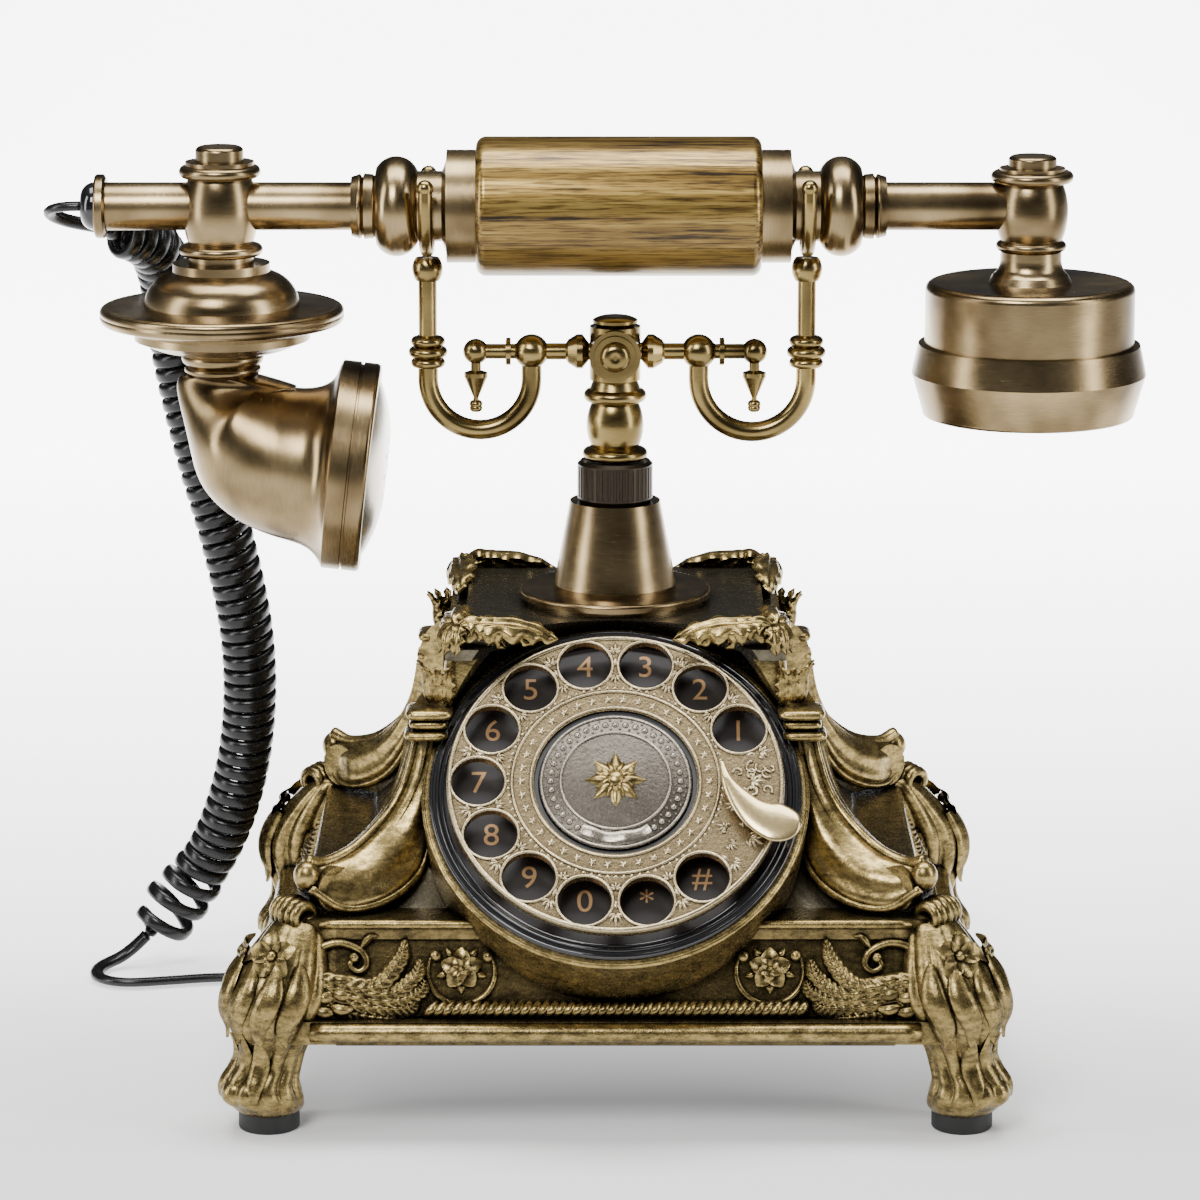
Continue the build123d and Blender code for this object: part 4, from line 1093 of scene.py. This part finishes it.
def make_finger_stop():
    """A comma-shaped blade over the wheel's edge."""
    line = smooth_line([dial_polar(r, deg, STOP_W) for r, deg in STOP_LINE], STOP_STEPS)
    blade = Sculpt()

    def place(s, t):
        k = round(s * STOP_STEPS)
        side = ahead_at(line, k).cross(DIAL_N).normalized()
        a = 2 * pi * t
        half = 0.7 + 4.6 * min(1, s / STOP_ROUND_FROM) ** 1.3
        if s > STOP_ROUND_FROM:
            half *= max(0.02, 1 - ((s - STOP_ROUND_FROM) / (1 - STOP_ROUND_FROM)) ** 2) ** 0.5
        return line[k] + side * (half * cos(a)) + DIAL_N * (0.95 * sin(a) * min(1, half / 1.5))

    blade.grid(place, STOP_STEPS, 24, closed=True, cap=True)
    blade.tube([dial_polar(43.8, -16, w) for w in (-2.2, 0, 1.6, 2.4)], 0.9, 12)
    piece = blade.make("finger_stop_blade", CREAM, "stop", "cream_brass")
    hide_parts("finger_stop")


# ---------------- stage, light and camera
# the first number is the strength of the floor's painted glow, an emission
FLOOR_PAINTED_GLOW, FLOOR_HALF = 7.5, 9  # metres for the floor's half length, as everywhere below
SKY = [(0.0, 0.4), (0.47, 0.4), (0.53, 0.22), (0.6, 0.04), (0.8, 0.05), (1.0, 0.35)]  # its greys, upwards
CAMERA_PITCH, CAMERA_FAR, CAMERA_AIM = radians(12.5), 1.270, Vector((-0.0038, 0, 0.117))


def floor_material():
    """White paper with a painted glow: it emits light, though it is no lamp, more the further back it lies
    and less away from the middle.
    """
    m = new_material("floor_white", (0.9, 0.9, 0.9), metallic=0, roughness=0.7)
    n = Nodes(m)
    axes = n.axes("Object")
    away = n.add("ShaderNodeMath", operation="ABSOLUTE")
    n.link(axes["X"], away.inputs[0])
    both = n.add("ShaderNodeMath", operation="MULTIPLY")
    n.link(n.to_range(axes["Y"], 0.0, FLOOR_PAINTED_GLOW, -0.08, 0.8), both.inputs[0])
    n.link(n.to_range(away.outputs[0], 1.0, 0.1, 0.3, 1.1, interpolation_type="SMOOTHSTEP"), both.inputs[1])
    # the emission is painted light: a glow of the floor itself, which also lights the telephone
    n.shader.inputs["Emission Color"].default_value = (1, 1, 1, 1)
    n.feed(Emission_Strength=both.outputs[0])
    return m


def make_stage():
    """The floor, and a world that is dark except for what the metal should mirror."""
    mesh = bpy.data.meshes.new("floor")
    far = FLOOR_HALF
    mesh.from_pydata([(-far, -far, 0), (far, -far, 0), (far, far, 0), (-far, far, 0)], [], [(0, 1, 2, 3)])
    mesh.materials.append(floor_material())
    new_object("floor", mesh)
    world = bpy.data.worlds.new("studio")
    world.use_nodes = True
    bpy.context.scene.world = world
    n = Nodes(world, "Background")
    height = n.to_range(n.axes("Generated")["Z"], 0.0, 1.0, -1)
    n.feed(Color=n.ramp(height, [(place, (grey, grey, grey)) for place, grey in SKY]))
    n.shader.inputs["Strength"].default_value = 1.0


def lamp(name, place, aim, size, power, size_y=None):
    light = bpy.data.lights.new(name, "AREA")
    light.energy = power
    light.shape = "RECTANGLE"
    light.size, light.size_y = size, size_y or size
    holder = new_object(name, light)
    holder.location = place
    holder.rotation_euler = (Vector(aim) - Vector(place)).to_track_quat("-Z", "Y").to_euler()


def make_lights():
    """A soft key from the front left, a strip on each side and a broad lamp above."""
    middle = (0, 0, 0.12)
    lamp("key", (-0.35, -0.95, 1.0), middle, 0.45, 14)
    lamp("left_strip", (-1.0, -0.35, 0.45), middle, 0.25, 7, 1.0)
    lamp("right_strip", (1.0, -0.45, 0.45), middle, 0.25, 7, 1.0)
    lamp("top", (0, 0.05, 1.3), middle, 1.2, 23, 0.6)


def make_camera():
    """A long lens, a little above the telephone and straight before it."""
    data = bpy.data.cameras.new("camera")
    data.lens, data.sensor_width = 150, 36
    data.clip_start, data.clip_end = 0.05, 20
    camera = new_object("camera", data)
    camera.location = CAMERA_AIM + Vector((0, -cos(CAMERA_PITCH), sin(CAMERA_PITCH))) * CAMERA_FAR
    camera.rotation_euler = (pi / 2 - CAMERA_PITCH, 0, 0)
    bpy.context.scene.camera = camera


dress_nodes()
make_camera()
make_stage()
make_lights()
make_cord()
make_digits()
make_engraving()
make_button_relief()
make_finger_stop()
make_legs()
make_straps()
make_panel_drops()
make_rope()
make_dial_rings()
gild_straps()
